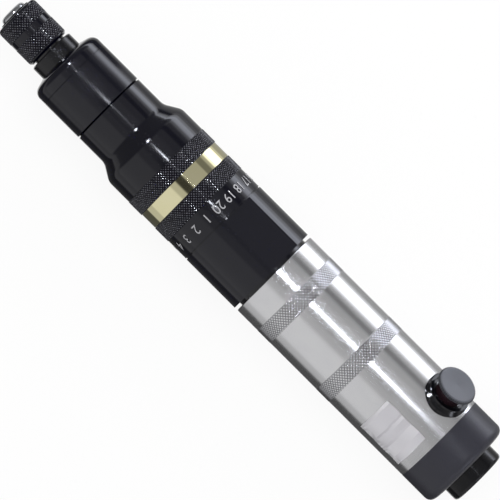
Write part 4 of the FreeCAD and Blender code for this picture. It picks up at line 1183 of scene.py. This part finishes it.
class SCREWDRIVER_OT_stage(bpy.types.Operator):
    """Camera, floor, reflecting tent, world and lamps"""

    bl_idname = "screwdriver.stage"
    bl_label = "Stage"

    def execute(self, context):
        floor_height = min(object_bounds()[0].z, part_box("clutch_housing")[0].z) - FLOOR_GAP
        self.make_camera(context)
        self.make_floor(context, floor_height)
        self.make_tent(floor_height / MM)
        self.make_world(context)
        for lamp in LAMPS:
            self.make_lamp(*lamp)
        context.scene.view_settings.view_transform = "Standard"
        return {"FINISHED"}

    def make_camera(self, context):
        """A camera straight above the tool, turned so that the tool lies across the corners."""
        data = bpy.data.cameras.new("camera")
        data.sensor_width = SENSOR
        data.lens = SENSOR * CAMERA_DISTANCE / FRAME_WIDTH
        data.clip_end = CAMERA_FAR
        camera = add_object("camera", data)
        half = math.sqrt(0.5)
        turn = Matrix(((half, -half, 0), (half, half, 0), (0, 0, 1))).to_4x4()
        camera.matrix_world = Matrix.Translation((VIEW_CENTRE, 0, CAMERA_DISTANCE)) @ turn
        context.scene.camera = camera

    def make_floor(self, context, height):
        """White paper that shows the tool's shadow and looks white everywhere else."""
        half = FLOOR_SIZE / 2 / MM
        grid = np.linspace(-half, half, FLOOR_POINTS)
        x, y = np.meshgrid(grid, grid, indexing="ij")
        points = np.stack([x, y, np.full_like(x, height / MM)], axis=-1)
        faces = grid_faces(FLOOR_POINTS, FLOOR_POINTS, False, False)[:, ::-1]
        floor = mesh_piece("floor", points, faces)
        colour = rgba(context.scene.screwdriver_colours.floor)

        def surface(tree):
            paper = add_node(tree, "BsdfDiffuse", {"Color": colour}).outputs[0]
            glow = add_node(tree, "Emission", {"Color": colour, "Strength": 1.0})
            share = calculate(tree, "MULTIPLY", seen_directly(tree), FLOOR_GLOW)
            mixed = add_node(tree, "MixShader", {
                0: share, 1: paper, 2: glow.outputs[0],
            })
            return mixed.outputs[0]

        floor.data.materials.append(studio_material("white_paper", surface))
        floor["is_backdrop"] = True

    def make_tent(self, floor_height):
        """Cards round the tool that only reflections see.

        A surface of the body's radius R at angle t reflects the camera's rays towards angle 2t.
        The tent's point for that reflection lies on a circle about the tool, or where the ray
        from R (sin t, cos t) meets the floor.
        """
        angle = np.linspace(-TENT_TURN, TENT_TURN, 2 * TENT_TURN + 1)[None]
        t, direction = np.radians(angle / 2), np.radians(angle)
        radius = span("handle")[2]
        y0, z0 = radius * np.sin(t), radius * np.cos(t)
        dy, dz = np.sin(direction), np.cos(direction)
        to_circle = TENT_RADIUS / MM - radius
        lowest = floor_height + TENT_GAP
        to_floor = np.where(dz < 0, (lowest - z0) / np.minimum(dz, -TINY), np.inf)
        reach = np.minimum(to_circle, to_floor)
        y, z = y0 + dy * reach, z0 + dz * reach
        x = np.concatenate([
            np.arange(-TENT_REACH, FINE_SPAN[0], COARSE_STEP),
            np.arange(*FINE_SPAN, FINE_STEP),
            np.arange(FINE_SPAN[1], TENT_REACH + TENT_TAIL, COARSE_STEP),
        ])[:, None]
        level = reflected_level(angle, x)
        points = np.stack(np.broadcast_arrays(x / MM, y, z), axis=-1)
        ends = points[[0, -1]] * (1.0, END_PINCH, END_PINCH)
        points = np.concatenate([ends[:1], points, ends[1:]])
        level = np.concatenate([level[:1], level, level[-1:]])
        level[[0, 1, -2, -1]] = END_WALL
        faces = grid_faces(len(points), angle.size, False, False)
        tent = mesh_piece("reflecting_tent", points, faces, 180.0, {"level": level})
        tent.visible_camera = tent.visible_diffuse = tent.visible_shadow = False
        tent.visible_transmission = tent.visible_volume_scatter = False

        def surface(tree):
            shown = attribute(tree, "level")
            lamp = add_node(tree, "MapRange", {
                "Value": shown, "From Min": BLUE_FROM, "From Max": BLUE_TO,
            })
            tint = blend_colours(tree, lamp.outputs["Result"], "#FFFFFF", LAMP_BLUE)
            glow = add_node(tree, "Emission", {"Color": tint, "Strength": shown})
            return glow.outputs[0]

        tent.data.materials.append(studio_material("studio_cards", surface))
        tent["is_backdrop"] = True

    def make_world(self, context):
        """A white world that lights matt surfaces less than it shows itself."""
        world = bpy.data.worlds.new("studio")
        context.scene.world = world
        world.use_nodes = True
        tree = world.node_tree
        tree.nodes.clear()
        level = add_node(tree, "MapRange", {
            "Value": seen_directly(tree), "To Min": WORLD_FILL, "To Max": 1.0,
        }).outputs["Result"]
        light = add_node(tree, "Background", {"Color": (1, 1, 1, 1), "Strength": level})
        add_node(tree, "OutputWorld", {"Surface": light.outputs[0]})

    def make_lamp(self, label, place, size, power):
        """A square lamp that faces the tool and isn't reflected by it."""
        data = bpy.data.lights.new(label, "AREA")
        data.size = size
        data.energy = power
        lamp = add_object(label, data)
        target = Vector((VIEW_CENTRE, 0, 0))
        lamp.rotation_euler = (Vector(place) - target).to_track_quat("Z", "Y").to_euler()
        lamp.location = place
        lamp.visible_camera = lamp.visible_glossy = False


OPERATORS = (
    SCREWDRIVER_OT_chuck,
    SCREWDRIVER_OT_nose,
    SCREWDRIVER_OT_clutch_housing,
    SCREWDRIVER_OT_gear_case,
    SCREWDRIVER_OT_handle,
    SCREWDRIVER_OT_scale,
    SCREWDRIVER_OT_label,
    SCREWDRIVER_OT_button,
    SCREWDRIVER_OT_springs,
    SCREWDRIVER_OT_inner_parts,
    SCREWDRIVER_OT_stage,
)


class SCREWDRIVER_PT_panel(bpy.types.Panel):
    """Sizes, colours and the steps that build the tool"""

    bl_label = "Inline Air Screwdriver"
    bl_idname = "SCREWDRIVER_PT_panel"
    bl_space_type = "VIEW_3D"
    bl_region_type = "UI"
    bl_category = "Screwdriver"

    def draw(self, context):
        for group in (context.scene.screwdriver_sizes, context.scene.screwdriver_colours):
            for label in group.__annotations__:
                self.layout.prop(group, label)
        for operator in OPERATORS:
            self.layout.operator(operator.bl_idname)


CLASSES = (ScrewdriverSizes, ScrewdriverColours, *OPERATORS, SCREWDRIVER_PT_panel)


def register():
    """Adds the classes and the scene's two groups of settings."""
    for kind in CLASSES:
        bpy.utils.register_class(kind)
    bpy.types.Scene.screwdriver_sizes = PointerProperty(type=ScrewdriverSizes)
    bpy.types.Scene.screwdriver_colours = PointerProperty(type=ScrewdriverColours)


def unregister():
    """Takes away what register added."""
    del bpy.types.Scene.screwdriver_sizes
    del bpy.types.Scene.screwdriver_colours
    for kind in reversed(CLASSES):
        bpy.utils.unregister_class(kind)


def main():
    """Builds the tool and the stage in order."""
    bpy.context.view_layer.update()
    register()
    make_finishes()
    bpy.context.view_layer.update()
    for operator in OPERATORS:
        group, step = operator.bl_idname.split(".")
        getattr(getattr(bpy.ops, group), step)()
    bpy.context.view_layer.update()


if __name__ == "__main__":
    main()
